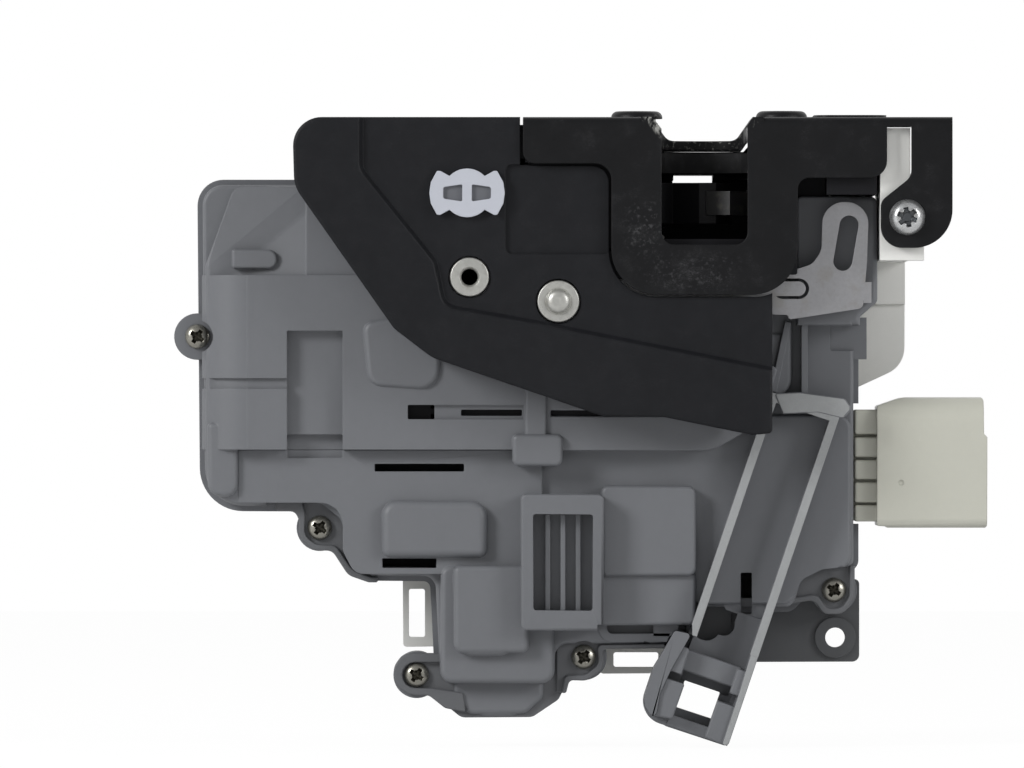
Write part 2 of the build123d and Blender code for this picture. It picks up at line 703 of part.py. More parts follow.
def guide_rails(front, back):
    """Side rails and end bracket of the cable guide, in the guide's own plane."""
    with BuildPart() as rails:
        with BuildSketch(guide_facing(back)):
            for side in (-1, 1):
                length = GUIDE_TOP - GUIDE_END
                with Locations((side * (GUIDE_HALF - GUIDE_RAIL / 2), GUIDE_TOP - length / 2)):
                    Rectangle(GUIDE_RAIL, length)
            with Locations((0, GUIDE_TOP - GUIDE_RAIL / 2)):
                Rectangle(2 * GUIDE_HALF, GUIDE_RAIL)
        extrude(amount=back - front)
    return rails.part


with BuildPart() as cable_guide:
    add(guide_rails(GUIDE_Y, GUIDE_BACK_Y))
    # web between the rails, scalloped where it leaves the housing
    with BuildSketch(guide_facing(GUIDE_BACK_Y)):
        outline(
            (-GUIDE_HALF + 0.5, GUIDE_TOP - 1, 0),
            (GUIDE_HALF - 0.5, GUIDE_TOP - 1, 0),
            (GUIDE_HALF - 0.5, BRACKET_TOP - 1.5, 0),
            (-GUIDE_HALF + 0.5, BRACKET_TOP - 1.5, 0),
        )
        with Locations((-GUIDE_HALF + 3.6, BRACKET_TOP + 8.0)):
            SlotOverall(7.0, 4.2, rotation=60, mode=Mode.SUBTRACT)
        with Locations((-GUIDE_HALF + 6.6, BRACKET_TOP + 5.0)):
            Circle(2.3, mode=Mode.SUBTRACT)
    extrude(amount=1.8)
    # end bracket: four lugs round the cable's abutment opening
    with BuildSketch(guide_facing(GUIDE_BACK_Y + 4)):
        outline(
            (BRACKET_LEFT + 4.6, BRACKET_TOP, 0.5),
            (GUIDE_HALF, BRACKET_TOP + 0.1, 0.5),
            (GUIDE_HALF - 0.01, GUIDE_END, 0.8),
            (BRACKET_LEFT, GUIDE_END - 0.1, 5.0),
            (BRACKET_LEFT - 0.01, BRACKET_TOP - 6.5, 1.5),
            (BRACKET_LEFT + 4.6, BRACKET_TOP - 3.0, 1.5),
        )
        outline(
            (BRACKET_LEFT + 6.2, BRACKET_TOP - 1.6, 0.5),
            (GUIDE_HALF - 2.4, BRACKET_TOP - 1.7, 0.5),
            (GUIDE_HALF - 2.41, GUIDE_END + 4.4, 0.5),
            (BRACKET_LEFT + 6.21, GUIDE_END + 4.3, 0.5),
        )
    extrude(amount=4 + GUIDE_BACK_Y - GUIDE_Y)
    with BuildSketch(guide_facing(GUIDE_BACK_Y + 5)):
        outline(
            (BRACKET_LEFT + 6.2, BRACKET_TOP - 1.6, 0.5),
            (GUIDE_HALF - 2.4, BRACKET_TOP - 1.7, 0.5),
            (GUIDE_HALF - 2.41, GUIDE_END + 4.4, 0.5),
            (BRACKET_LEFT + 6.21, GUIDE_END + 4.3, 0.5),
        )
    extrude(amount=16, mode=Mode.SUBTRACT)
    # deep slots between the lugs
    with BuildSketch(guide_facing(GUIDE_Y + 5)):
        with Locations((BRACKET_LEFT + 3.0, BRACKET_TOP - 8.6)):
            Rectangle(9.0, 2.6)
        with Locations((GUIDE_HALF - 1.2, BRACKET_TOP - 9.2)):
            Rectangle(5.0, 2.4)
        with Locations((-1.6, GUIDE_END + 2.0)):
            Rectangle(5.2, 6.0)
    extrude(amount=10, mode=Mode.SUBTRACT)

with BuildPart() as front_cover:
    # rim flange and side walls up to the lowest surface
    with BuildSketch(facing(SPLIT_Y)):
        house_face(0)
    extrude(amount=RIM_T)
    with BuildSketch(facing(SPLIT_Y)):
        house_face(RIM)
    extrude(amount=SPLIT_Y - SKIN_Y)
    fillet(front_cover.faces().sort_by(Axis.Y)[0].edges(), radius=0.8)
    # raised fields and bulges
    for corners, level, soften in relief:
        add(block(corners, SPLIT_Y - 1, level, soften))
    add(block(foot_lip, SPLIT_Y, 0.5, 1.5))
    add(block(shoulder, SPLIT_Y, GUIDE_Y, 1.2))
    add(block(shoulder_low, SPLIT_Y - 1, GUIDE_Y, 0.8))
    add(block(flap, SPLIT_Y - 1, GUIDE_Y, 0.5))
    add(motor_bulge(BULGE_R, (-33.0, -54.7), SKIN_Y))
    add(motor_bulge(BULGE_R - 1.0, (-54.7, -56.9), SKIN_Y))
    add(motor_bulge(BULGE_R, (-56.9, -69.7), SKIN_Y))
    # sloped corner at the upper left
    slope = Plane(
        origin=(-94.5, MOTOR_FIELD_Y, -23.0),
        x_dir=(-0.64, 0, 0.768),
        z_dir=(0.768, 0, 0.64),
    )
    with BuildSketch(slope):
        Polygon((0, 0), (22, -3.2), (22, 12), (0, 12), align=None)
    extrude(amount=SLOPE_LEN / 2, both=True, mode=Mode.SUBTRACT)
    # hollow inside
    with BuildSketch(facing(SPLIT_Y + 1)):
        house_face(RIM + WALL)
    extrude(amount=SPLIT_Y + 1 - SKIN_Y - WALL, mode=Mode.SUBTRACT)
    for corners, level, soften in relief:
        add(cavity(corners, SPLIT_Y, level + WALL, WALL), mode=Mode.SUBTRACT)
    add(cavity(shoulder, SPLIT_Y + 1, GUIDE_Y + WALL, WALL), mode=Mode.SUBTRACT)
    add(cavity(shoulder_low, SPLIT_Y, GUIDE_Y + WALL, WALL), mode=Mode.SUBTRACT)
    add(motor_bulge(BULGE_R - WALL, (-33.0 - WALL, -69.7 + WALL), SKIN_Y + WALL + 0.5), mode=Mode.SUBTRACT)
    # the flap stays a single skin in front of the latch case
    with BuildSketch(facing(SPLIT_Y + 1)):
        with Locations((BLOCK_X - 10, UNDER_CASE_Z + 10)):
            Rectangle(20, 20)
    extrude(amount=SPLIT_Y + 1 - CASE_STEP_Y + SEAT, mode=Mode.SUBTRACT)
    # blind pockets and slots in the skin
    for x, z, w, h, floor, r in pockets:
        with BuildSketch(facing(floor + WALL)):
            with Locations((x, z)):
                Rectangle(w + 2 * WALL, h + 2 * WALL)
        extrude(amount=WALL)
        with BuildSketch(facing(floor)):
            with Locations((x, z)):
                RectangleRounded(w, h, r)
        extrude(amount=20, mode=Mode.SUBTRACT)
    for x, z, w, h in slots:
        with BuildSketch(facing(2)):
            with Locations((x, z)):
                Rectangle(w, h)
        extrude(amount=12, mode=Mode.SUBTRACT)
    # ribbed window well
    with BuildSketch(facing(WINDOW_FLOOR_Y + WALL)):
        outline(*window_frame)
    extrude(amount=WALL)
    with BuildSketch(facing(WINDOW_FLOOR_Y)):
        outline(*window_hole)
    extrude(amount=10, mode=Mode.SUBTRACT)
    with BuildSketch(facing(WINDOW_FLOOR_Y)):
        with Locations((-29.6, -93.4)):
            with GridLocations(3.2, 1, 3, 1):
                Rectangle(1.0, 20.2)
    extrude(amount=2.2)
    # screw ears
    add(fixing_ears(SCREW_SEAT_Y, SPLIT_Y))
    with BuildSketch(facing(SPLIT_Y + 1)):
        with Locations(*CASE_SCREWS):
            Circle(CASE_SCREW_R + 0.2)
    extrude(amount=20, mode=Mode.SUBTRACT)
    with BuildSketch(facing(SCREW_SEAT_Y)):
        with Locations(*CASE_SCREWS):
            Circle(CASE_SCREW_HEAD_R + 0.8)
    extrude(amount=20, mode=Mode.SUBTRACT)
    add(motor_room(), mode=Mode.SUBTRACT)
    # bosses of the levers and the shield's clip
    lever_seat_y = LEVER_Y + LEVER_T + SEAT
    with BuildSketch(facing(UNDER_SHIELD_Y + WALL)):
        with Locations(LEVER_PIVOT, OUTER_PIVOT):
            Circle(LEVER_HUB_R - 1)
    extrude(amount=UNDER_SHIELD_Y + WALL - lever_seat_y)
    with BuildSketch(facing(MOTOR_FIELD_Y + WALL)):
        with Locations(CLIP_AT):
            Circle(5.0)
    extrude(amount=MOTOR_FIELD_Y + WALL - SHIELD_Y - SHIELD_T - SEAT)
    with BuildSketch(facing(0)):
        with Locations(LEVER_PIVOT):
            Circle(LEVER_RIVET_R)
        with Locations(OUTER_PIVOT):
            Circle(OUTER_RIVET_R)
        with Locations(CLIP_AT):
            Circle(3.0)
    extrude(amount=30, mode=Mode.SUBTRACT)
    # ribs beside the guide's top wall
    with BuildSketch(facing(0)):
        with Locations((21.2, -50.6)):
            Rectangle(1.3, 15)
        with Locations((16.2, -50.2)):
            Rectangle(1.3, 15, rotation=-12)
    extrude(amount=-GUIDE_Y - 1.5)
    # cable guide
    add(cable_guide.part)
    # way out for the connector's neck
    with BuildSketch(facing(SPLIT_Y + 1)):
        with Locations((HOUSE_RIGHT, (NECK_TOP + NECK_BOTTOM) / 2)):
            Rectangle(12, NECK_TOP - NECK_BOTTOM + 2 * SEAT)
    extrude(amount=SPLIT_Y + 1 - NECK_Y + SEAT, mode=Mode.SUBTRACT)

front_cover.part.label = "front_cover"
export_step(front_cover.part, "parts/front_cover.step")

# ------------------------------------------------------------ rear housing
BASE_FOOT = -114.5
HOUSE_FLOOR_Y = REAR_Y - FLOOR_T
LOCK_WHEEL_R = LOCK_TEETH * WORM_PITCH / (2 * math.pi)
SAFE_WHEEL_R = SAFE_TEETH * WORM_PITCH / (2 * math.pi)
WORM_MEAN_R = (WORM_R + WORM_ROOT_R) / 2
LOCK_WORM_MID = LOCK_MOTOR_TOP - MOTOR_LEN - MOTOR_STANDOFF - WORM_LEN / 2
LOCK_WHEEL = (LOCK_MOTOR_X + WORM_MEAN_R + LOCK_WHEEL_R, LOCK_WORM_MID)
SAFE_WORM_MID = SAFE_MOTOR_LEFT + MOTOR_LEN + MOTOR_STANDOFF + WORM_LEN / 2
SAFE_WHEEL = (SAFE_WORM_MID, SAFE_MOTOR_Z + WORM_MEAN_R + SAFE_WHEEL_R)
PINION_Y = DRIVE_Y + WHEEL_T / 2
PINION_T = 4.4
LOCK_PINION_R = LOCK_PINION_TEETH * RACK_MODULE / 2
SAFE_PINION_R = SAFE_PINION_TEETH * RACK_MODULE / 2
RACK_BACK_Y = PINION_Y + PINION_T + 0.3
RACK_BODY = 4.5
LOCK_RACK_X = LOCK_WHEEL[0] + LOCK_PINION_R
SAFE_RACK_Z = SAFE_WHEEL[1] + SAFE_PINION_R
LOCK_RACK = (-80.0, -40.0)
SAFE_RACK = (-58.0, -24.0)
PAD_FRONT_Y = RACK_BACK_Y + SEAT

base_corner = [
    (4.0, -97.0, 1),
    (HOUSE_RIGHT + 0.2, -97.1, 1),
    (HOUSE_RIGHT + 0.19, BASE_FOOT, 1.5),
    (3.99, BASE_FOOT - 0.1, 2),
]
motor_back = [(-105.0, -31.5, 3), (-85.5, -31.6, 3), (-85.6, -58.5, 3), (-104.9, -58.4, 3)]

with BuildPart() as rear_housing:
    with BuildSketch(facing(SPLIT_Y + RIM_T)):
        house_face(0)
    extrude(amount=RIM_T)
    with BuildSketch(facing(REAR_Y)):
        house_face(RIM)
    extrude(amount=REAR_Y - SPLIT_Y)
    fillet(rear_housing.faces().sort_by(Axis.Y)[-1].edges(), radius=1.2)
    # block beside the latch case
    add(block(shoulder, REAR_Y, SPLIT_Y))
    # base sheet standing out at the lower right, with its fixing lug
    with BuildSketch(facing(SPLIT_Y + LUG_T)):
        outline(*base_corner)
        with Locations((LUG_X, LUG_Z)):
            Circle(LUG_R)
    extrude(amount=LUG_T)
    with BuildSketch(facing(SPLIT_Y + LUG_T + 1.0)):
        with Locations((LUG_X, LUG_Z)):
            Circle(LUG_R - 0.6)
    extrude(amount=LUG_T + 1.8)
    with BuildSketch(facing(SPLIT_Y + LUG_T + 2)):
        with Locations((LUG_X, LUG_Z)):
            Circle(LUG_HOLE_R)
    extrude(amount=LUG_T + 4, mode=Mode.SUBTRACT)
    # swelling behind the lock motor
    with BuildSketch(facing(REAR_Y)):
        outline(*motor_back)
    extrude(amount=-3.0)
    fillet(rear_housing.faces().sort_by(Axis.Y)[-1].edges(), radius=1.4)
    # hollow inside, open towards the front cover
    with BuildSketch(facing(HOUSE_FLOOR_Y)):
        house_face(RIM + WALL)
    extrude(amount=HOUSE_FLOOR_Y - SPLIT_Y + 1, mode=Mode.SUBTRACT)
    add(cavity(shoulder, HOUSE_FLOOR_Y, SPLIT_Y - 1, WALL), mode=Mode.SUBTRACT)
    # axle posts of the worm wheels
    with BuildSketch(facing(HOUSE_FLOOR_Y + 0.5)):
        with Locations(LOCK_WHEEL, SAFE_WHEEL):
            Circle(AXLE_R + 1.5)
    extrude(amount=HOUSE_FLOOR_Y + 0.5 - RACK_BACK_Y - SEAT)
    with BuildSketch(facing(HOUSE_FLOOR_Y + 0.5)):
        with Locations(LOCK_WHEEL, SAFE_WHEEL):
            Circle(AXLE_R)
    extrude(amount=HOUSE_FLOOR_Y + 0.5 - DRIVE_Y + WHEEL_T / 2)
    # rails behind and beside the two racks
    with BuildSketch(facing(HOUSE_FLOOR_Y + 0.5)):
        with Locations((LOCK_RACK_X + RACK_BODY / 2 + 1.0, sum(LOCK_RACK) / 2)):
            Rectangle(RACK_BODY - 1, LOCK_RACK[1] - LOCK_RACK[0] - 6)
        with Locations((sum(SAFE_RACK) / 2, SAFE_RACK_Z + RACK_BODY / 2 + 1.0)):
            Rectangle(SAFE_RACK[1] - SAFE_RACK[0] - 6, RACK_BODY - 1)
    extrude(amount=HOUSE_FLOOR_Y + 0.5 - PAD_FRONT_Y)
    # cradles of the two motors
    with BuildSketch(facing(HOUSE_FLOOR_Y + 0.5)):
        for z in (LOCK_MOTOR_TOP - 4, LOCK_MOTOR_TOP - MOTOR_LEN + 3):
            with Locations((LOCK_MOTOR_X, z)):
                Rectangle(2 * MOTOR_R - 1, 2)
        for x in (SAFE_MOTOR_LEFT + 4, SAFE_MOTOR_LEFT + MOTOR_LEN - 3):
            with Locations((x, SAFE_MOTOR_Z)):
                Rectangle(2, 2 * SAFE_MOTOR_R - 1)
    extrude(amount=HOUSE_FLOOR_Y + 0.5 - DRIVE_Y)
    # screw ears
    add(fixing_ears(SPLIT_Y, SCREW_TIP_Y + 1.5))
    with BuildSketch(facing(SCREW_TIP_Y + 0.2)):
        with Locations(*CASE_SCREWS):
            Circle(CASE_SCREW_R)
    extrude(amount=20, mode=Mode.SUBTRACT)
    add(motor_room(), mode=Mode.SUBTRACT)
    # groove of the gasket
    with BuildSketch(facing(SPLIT_Y + GASKET_T)):
        house_face(RIM + 0.3)
        offset(amount=-GASKET_W, kind=Kind.INTERSECTION, mode=Mode.SUBTRACT)
    extrude(amount=GASKET_T + 1, mode=Mode.SUBTRACT)
    # way out for the connector's neck
    with BuildSketch(facing(NECK_BACK_Y + SEAT)):
        with Locations((HOUSE_RIGHT, (NECK_TOP + NECK_BOTTOM) / 2)):
            Rectangle(12, NECK_TOP - NECK_BOTTOM + 2 * SEAT)
    extrude(amount=NECK_BACK_Y - SPLIT_Y + 2, mode=Mode.SUBTRACT)

rear_housing.part.label = "rear_housing"
export_step(rear_housing.part, "parts/rear_housing.step")

with BuildPart() as housing_gasket:
    with BuildSketch(facing(SPLIT_Y + GASKET_T)):
        house_face(RIM + 0.3)
        offset(amount=-GASKET_W, kind=Kind.INTERSECTION, mode=Mode.SUBTRACT)
        with Locations((HOUSE_RIGHT, (NECK_TOP + NECK_BOTTOM) / 2)):
            Rectangle(12, NECK_TOP - NECK_BOTTOM + 2 * SEAT, mode=Mode.SUBTRACT)
        with Locations(*CASE_SCREWS):
            Circle(CASE_SCREW_R + 0.3, mode=Mode.SUBTRACT)
    extrude(amount=GASKET_T)

housing_gasket.part.label = "housing_gasket"
export_step(housing_gasket.part, "parts/housing_gasket.step")

with BuildPart() as cover_screws:
    with BuildSketch(facing(SCREW_SEAT_Y)):
        with Locations(*CASE_SCREWS):
            Circle(CASE_SCREW_HEAD_R)
    extrude(amount=CASE_SCREW_HEAD_T)
    fillet(cover_screws.edges().group_by(Axis.Y)[0], radius=0.8)
    with BuildSketch(facing(SCREW_TIP_Y)):
        with Locations(*CASE_SCREWS):
            Circle(CASE_SCREW_R)
    extrude(amount=CASE_SCREW_LEN - CASE_SCREW_HEAD_T)
    with BuildSketch(facing(SCREW_SEAT_Y - CASE_SCREW_HEAD_T + 1.1)):
        with Locations(*CASE_SCREWS):
            Rectangle(2.6, 0.55, rotation=38)
            Rectangle(0.55, 2.6, rotation=38)
    extrude(amount=3, mode=Mode.SUBTRACT)

cover_screws.part.label = "cover_screws"
export_step(cover_screws.part, "parts/cover_screws.step")

# ------------------------------------------------------------ black shield
shield_edge = [
    (PLATE_LEFT - 0.6, 0, 0),
    (-86.3, -0.01, 6.0),
    (-85.9, -14.5, 7),
    (-65.0, -44.3, 5),
    (-57.0, -50.4, 8),
    (-21.5, -62.6, 5),
    (-8.6, -62.8, 5),
    (10.0, -66.6, 2),
    (14.2, -66.2, 1.0),
    (14.21, -30.0, 0),
    (PLATE_LEFT - 0.6, -29.9, 0),
]
band_inner = [
    (PLATE_LEFT - 0.5, 1, 0),
    (-71.5, 0.99, 0),
    (-71.5, -10.7, 4),
    (-56.0, -30.0, 4),
    (-54.0, -39.2, 3),
    (-39.0, -41.8, 8),
    (15.0, -52.5, 0),
    (15.01, -20.0, 0),
    (PLATE_LEFT - 0.5, -19.9, 0),
]
U_CLEAR = 0.5
shield_u = [
    (PLATE_LEFT - 0.6, 2, 0),
    (PLATE_LEFT - 0.6, -9.7 - U_CLEAR, 2.5),
    (-U_HALF - U_CLEAR, -9.71 - U_CLEAR, 3.5),
    (-U_HALF - U_CLEAR, U_BOTTOM - U_CLEAR, 9.8),
    (U_HALF + U_CLEAR, U_BOTTOM - U_CLEAR - 0.01, 9.8),
    (U_HALF + U_CLEAR, 2.01, 0),
]

with BuildPart() as latch_cover:
    with BuildSketch(facing(SHIELD_BACK_Y)):
        outline(*shield_edge)
        with Locations((-22, -20)):
            Rectangle(2 * 16.6, 20)
    extrude(amount=SHIELD_T)
    # raised band along the free edges
    with BuildSketch(facing(SHIELD_Y)):
        outline(*shield_edge)
    extrude(amount=SHIELD_BAND)
    with BuildSketch(facing(SHIELD_Y)):
        outline(*band_inner)
    extrude(amount=SHIELD_BAND + 1, taper=-30, mode=Mode.SUBTRACT)
    fillet(latch_cover.faces().filter_by(Axis.Y).sort_by(Axis.Y)[0].edges(), radius=0.7)
    # skirt round the free edges, open towards the levers on the right
    with BuildSketch(facing(SKIRT_END_Y)):
        outline(*shield_edge)
        offset(amount=-SHIELD_T, kind=Kind.INTERSECTION, mode=Mode.SUBTRACT)
        with Locations((20.0 - 4.0, -50)):
            Rectangle(20, 60, mode=Mode.SUBTRACT)
        with Locations((-12.0, -26)):
            Rectangle(2 * (-12.0 - PLATE_LEFT + 3), 20, mode=Mode.SUBTRACT)
    extrude(amount=SHIELD_BACK_Y * -1 + SKIRT_END_Y + 0.5)
    # top wall runs back over the housing
    with BuildSketch(facing(SPLIT_Y - 4)):
        with Locations(((-81.0 + PLATE_LEFT - 0.6) / 2, -SHIELD_T / 2)):
            Rectangle(81.0 + PLATE_LEFT - 0.6, SHIELD_T)
    extrude(amount=SPLIT_Y - 4 - SHIELD_BACK_Y + 0.5)
    # clear of the steel flange
    with BuildSketch(facing(SHIELD_BACK_Y + 1)):
        outline(*shield_u)
    extrude(amount=10, mode=Mode.SUBTRACT)
    # flat pad beside the flange, a step lower
    with BuildSketch(facing(SHIELD_Y + 0.8)):
        with Locations((-30.6, -19.3)):
            RectangleRounded(22.2, 18.8, 1.5)
    extrude(amount=4, mode=Mode.SUBTRACT)
    # rivet windows and clip hole
    with BuildSketch(facing(SHIELD_BACK_Y + 1)):
        with Locations(LEVER_PIVOT):
            Circle(LEVER_HEAD_R + SEAT)
        with Locations(OUTER_PIVOT):
            Circle(OUTER_HEAD_R + SEAT)
        with Locations(CLIP_AT):
            Circle(3.4)
    extrude(amount=10, mode=Mode.SUBTRACT)

latch_cover.part.label = "latch_cover"
export_step(latch_cover.part, "parts/latch_cover.step")

# ------------------------------------------- rivets, clip and release levers
SPACER_END_Y = LEVER_Y - SEAT


def lever_rivet_part(at, head_r, shank_r, domed, bore_r):
    """Rivet showing through the shield, stepped down to carry a lever."""
    with BuildPart() as rivet:
        with BuildSketch(facing(SPACER_END_Y)):
            with Locations(at):
                Circle(head_r)
        extrude(amount=SPACER_END_Y - SHIELD_Y + 0.6)
        fillet(rivet.edges().group_by(Axis.Y)[0], radius=0.5)
        with BuildSketch(facing(0)):
            with Locations(at):
                Circle(shank_r)
        extrude(amount=-SPACER_END_Y)
        if domed:
            with Locations((at[0], SHIELD_Y + 0.9, at[1])):
                Sphere(2.9)
        if bore_r > 0:
            with BuildSketch(facing(1)):
                with Locations(at):
                    Circle(bore_r)
            extrude(amount=30, mode=Mode.SUBTRACT)
    return rivet.part


with BuildPart() as lever_rivet:
    add(lever_rivet_part(LEVER_PIVOT, LEVER_HEAD_R, LEVER_RIVET_R, True, 0))

lever_rivet.part.label = "lever_rivet"
export_step(lever_rivet.part, "parts/lever_rivet.step")

with BuildPart() as hollow_rivet:
    add(lever_rivet_part(OUTER_PIVOT, OUTER_HEAD_R, OUTER_RIVET_R, False, OUTER_BORE_R))

hollow_rivet.part.label = "hollow_rivet"
export_step(hollow_rivet.part, "parts/hollow_rivet.step")

with BuildPart() as bayonet_clip:
    # quarter-turn head with two wings and two windows
    with BuildSketch(facing(SHIELD_Y)):
        with Locations(CLIP_AT):
            Circle(5.3)
        with Locations(CLIP_AT):
            Circle(7.9)
            with Locations((0, 8.2), (0, -8.2)):
                Rectangle(20, 7.4, mode=Mode.SUBTRACT)
    extrude(amount=1.3)
    fillet(bayonet_clip.faces().sort_by(Axis.Y)[0].edges(), radius=0.35)
    with BuildSketch(facing(SHIELD_Y - 0.5)):
        with Locations((CLIP_AT[0] - 2.7, CLIP_AT[1] - 0.1), (CLIP_AT[0] + 2.7, CLIP_AT[1] - 0.1)):
            RectangleRounded(4.0, 3.6, 0.4)
    extrude(amount=3, mode=Mode.SUBTRACT)
    with BuildSketch(facing(-9)):
        with Locations(CLIP_AT):
            Circle(2.9)
    extrude(amount=-9 - SHIELD_Y)

bayonet_clip.part.label = "bayonet_clip"
export_step(bayonet_clip.part, "parts/bayonet_clip.step")

with BuildPart() as release_lever:
    with BuildSketch(facing(LEVER_Y + LEVER_T)):
        outline(
            (24.9, -17.6, 4.6),
            (34.6, -17.8, 4.6),
            (34.2, -30.0, 4),
            (33.3, -40.0, 1.2),
            (17.7, -42.4, 0.6),
            (17.6, -41.4, 0.5),
            (14.2, -41.3, 0.5),
            (-20.0, -46.2, 4),
            (-36.0, -46.1, 4),
            (-36.1, -31.0, 4),
            (-20.0, -33.2, 3),
            (14.0, -33.4, 2),
            (22.6, -30.8, 3),
            (24.6, -28.0, 4),
        )
        with Locations(LEVER_PIVOT):
            Circle(LEVER_RIVET_R + RUN, mode=Mode.SUBTRACT)
        with Locations((29.75, -26.35)):
            SlotOverall(SLOT_LEN + 0.4, SLOT_W, rotation=80, mode=Mode.SUBTRACT)
        # lanced tongue
        with Locations((18.2, -35.9)):
            SlotOverall(7.6, 4.3, mode=Mode.SUBTRACT)
        with Locations((17.5, -35.9)):
            SlotOverall(7.6, 3.1)
    extrude(amount=LEVER_T)
    # stop tab turned back at the right edge
    with BuildSketch(facing(LEVER_Y + 4.2)):
        with Locations((34.3, -36.7)):
            Rectangle(1.6, 4.4)
    extrude(amount=4.2)

release_lever.part.label = "release_lever"
export_step(release_lever.part, "parts/release_lever.step")

with BuildPart() as outer_lever:
    with BuildSketch(facing(LEVER_Y + LEVER_T)):
        with Locations(OUTER_PIVOT):
            Circle(LEVER_HUB_R - 0.5)
        clip_head = [(-67.5, -24.5, 3.2), (-64.5, -17.5, 3.2), (-60.0, -18.5, 3)]
        outline((-55.0, -36.0, 1), *clip_head, (-46.5, -28.5, 1))
        outline((-50.0, -27.5, 1), (-39.0, -24.5, 2), (-38.5, -29.5, 2), (-45.5, -36.0, 1))
        with Locations((-63.3, -21.6)):
            Circle(1.6, mode=Mode.SUBTRACT)
        with Locations(OUTER_PIVOT):
            Circle(OUTER_RIVET_R + RUN, mode=Mode.SUBTRACT)
    extrude(amount=LEVER_T)

outer_lever.part.label = "outer_lever"
export_step(outer_lever.part, "parts/outer_lever.step")

with BuildPart() as ear_screw:
    with BuildSketch(facing(FLANGE_Y)):
        with Locations((EAR_X, EAR_Z)):
            Circle(EAR_HEAD_R)
    extrude(amount=EAR_HEAD_T)
    fillet(ear_screw.edges().group_by(Axis.Y)[0], radius=1.2)
    with BuildSketch(facing(FLANGE_Y + 14)):
        with Locations((EAR_X, EAR_Z)):
            Circle(EAR_SCREW_R)
    extrude(amount=14)
    with BuildSketch(facing(FLANGE_Y - EAR_HEAD_T + 1.4)):
        with Locations((EAR_X, EAR_Z)):
            Rectangle(4.2, 1.0, rotation=20)
            Rectangle(1.0, 4.2, rotation=20)
    extrude(amount=4, mode=Mode.SUBTRACT)

ear_screw.part.label = "ear_screw"
export_step(ear_screw.part, "parts/ear_screw.step")

# --------------------------------------------------------- white rear cover
TOWER_LEFT = HOUSE_UPPER_RIGHT + SEAT
TOWER_RIGHT = 43.1
TOWER_FOOT = -30.0
BACK_Y = REAR_Y + 3.0 + SEAT

with BuildPart() as rear_cover:
    # sheet behind the housing
    with BuildSketch(facing(BACK_Y + BACK_T)):
        outline(
            (-84.0, -34.0, 4),
            (TOWER_RIGHT, -33.9, 3),
            (TOWER_RIGHT - 0.1, -52.0, 6),
            (30.0, -58.0, 5),
            (30.1, -100.0, 5),
            (0.0, -106.0, 8),
            (-8.0, -117.3, 1),
            (-21.4, -117.4, 1),
            (-26.0, -109.0, 3),
            (-50.0, -112.0, 4),
            (-56.0, -111.6, 1),
            (-63.4, -111.7, 0.8),
            (-63.5, -95.0, 1),
            (-68.0, -88.0, 5),
            (-84.1, -78.0, 5),
        )
        # loops left free beyond the housing's edge
        with Locations((-60.5, -104.5)):
            RectangleRounded(3.4, 10.2, 0.5, mode=Mode.SUBTRACT)
        with Locations((-14.0, -114.4)):
            RectangleRounded(9.5, 3.1, 0.5, mode=Mode.SUBTRACT)
    extrude(amount=BACK_T)
    # standing ribs that hold the sheet off the housing
    with BuildSketch(facing(BACK_Y)):
        with Locations((-30, -50), (-30, -66), (-30, -90)):
            Rectangle(60, 1.4)
    extrude(amount=BACK_Y - REAR_Y - SEAT)
    # tower beside the latch with the boss for the ear screw
    with BuildSketch(Plane.XY.offset(TOWER_FOOT)):
        with Locations(((TOWER_LEFT + TOWER_RIGHT) / 2, (CASE_FRONT_Y + BACK_Y + BACK_T) / 2)):
            Rectangle(TOWER_RIGHT - TOWER_LEFT, BACK_Y + BACK_T - CASE_FRONT_Y)
    extrude(amount=-PLATE_T - SEAT - TOWER_FOOT)
    with BuildSketch(facing(BACK_Y + BACK_T)):
        with Locations(((TOWER_LEFT + TOWER_RIGHT) / 2, TOWER_FOOT - 4)):
            Rectangle(TOWER_RIGHT - TOWER_LEFT, 10)
    extrude(amount=BACK_T + 1.0)
    with BuildSketch(Plane.XY.offset(TOWER_FOOT + 2.4)):
        with Locations(((TOWER_LEFT + TOWER_RIGHT) / 2 + 0.6, (CASE_FRONT_Y + BACK_Y) / 2 + 2)):
            Rectangle(TOWER_RIGHT - TOWER_LEFT - 2.4, BACK_Y - CASE_FRONT_Y - 14)
    extrude(amount=-PLATE_T - SEAT - TOWER_FOOT - 4.8, mode=Mode.SUBTRACT)
    with BuildSketch(facing(CASE_FRONT_Y + 10)):
        with Locations((EAR_X, EAR_Z)):
            Circle(EAR_R - 0.6)
        with Locations((41.4, -28.6)):
            Rectangle(9.2, 2.8)
    extrude(amount=10)
    with BuildSketch(facing(FLANGE_Y + 14)):
        with Locations((EAR_X, EAR_Z)):
            Circle(EAR_SCREW_R)
    extrude(amount=20, mode=Mode.SUBTRACT)

rear_cover.part.label = "rear_cover"
export_step(rear_cover.part, "parts/rear_cover.step")

# --------------------------------------------------------------- connector
PLUG_MID_Y = (PLUG_Y + PLUG_BACK_Y) / 2
PLUG_MID_Z = (PLUG_TOP + PLUG_BOTTOM) / 2
PLUG_DEEP = PLUG_BACK_Y - PLUG_Y
PLUG_TALL = PLUG_TOP - PLUG_BOTTOM
NECK_MID_Z = (NECK_TOP + NECK_BOTTOM) / 2
NECK_MID_Y = (NECK_Y + NECK_BACK_Y) / 2
PIN_W = 0.8
PIN_ROWS = 2
PIN_COUNT = 6
PIN_PITCH = 3.6
WALL_IN = HOUSE_RIGHT - RIM - WALL

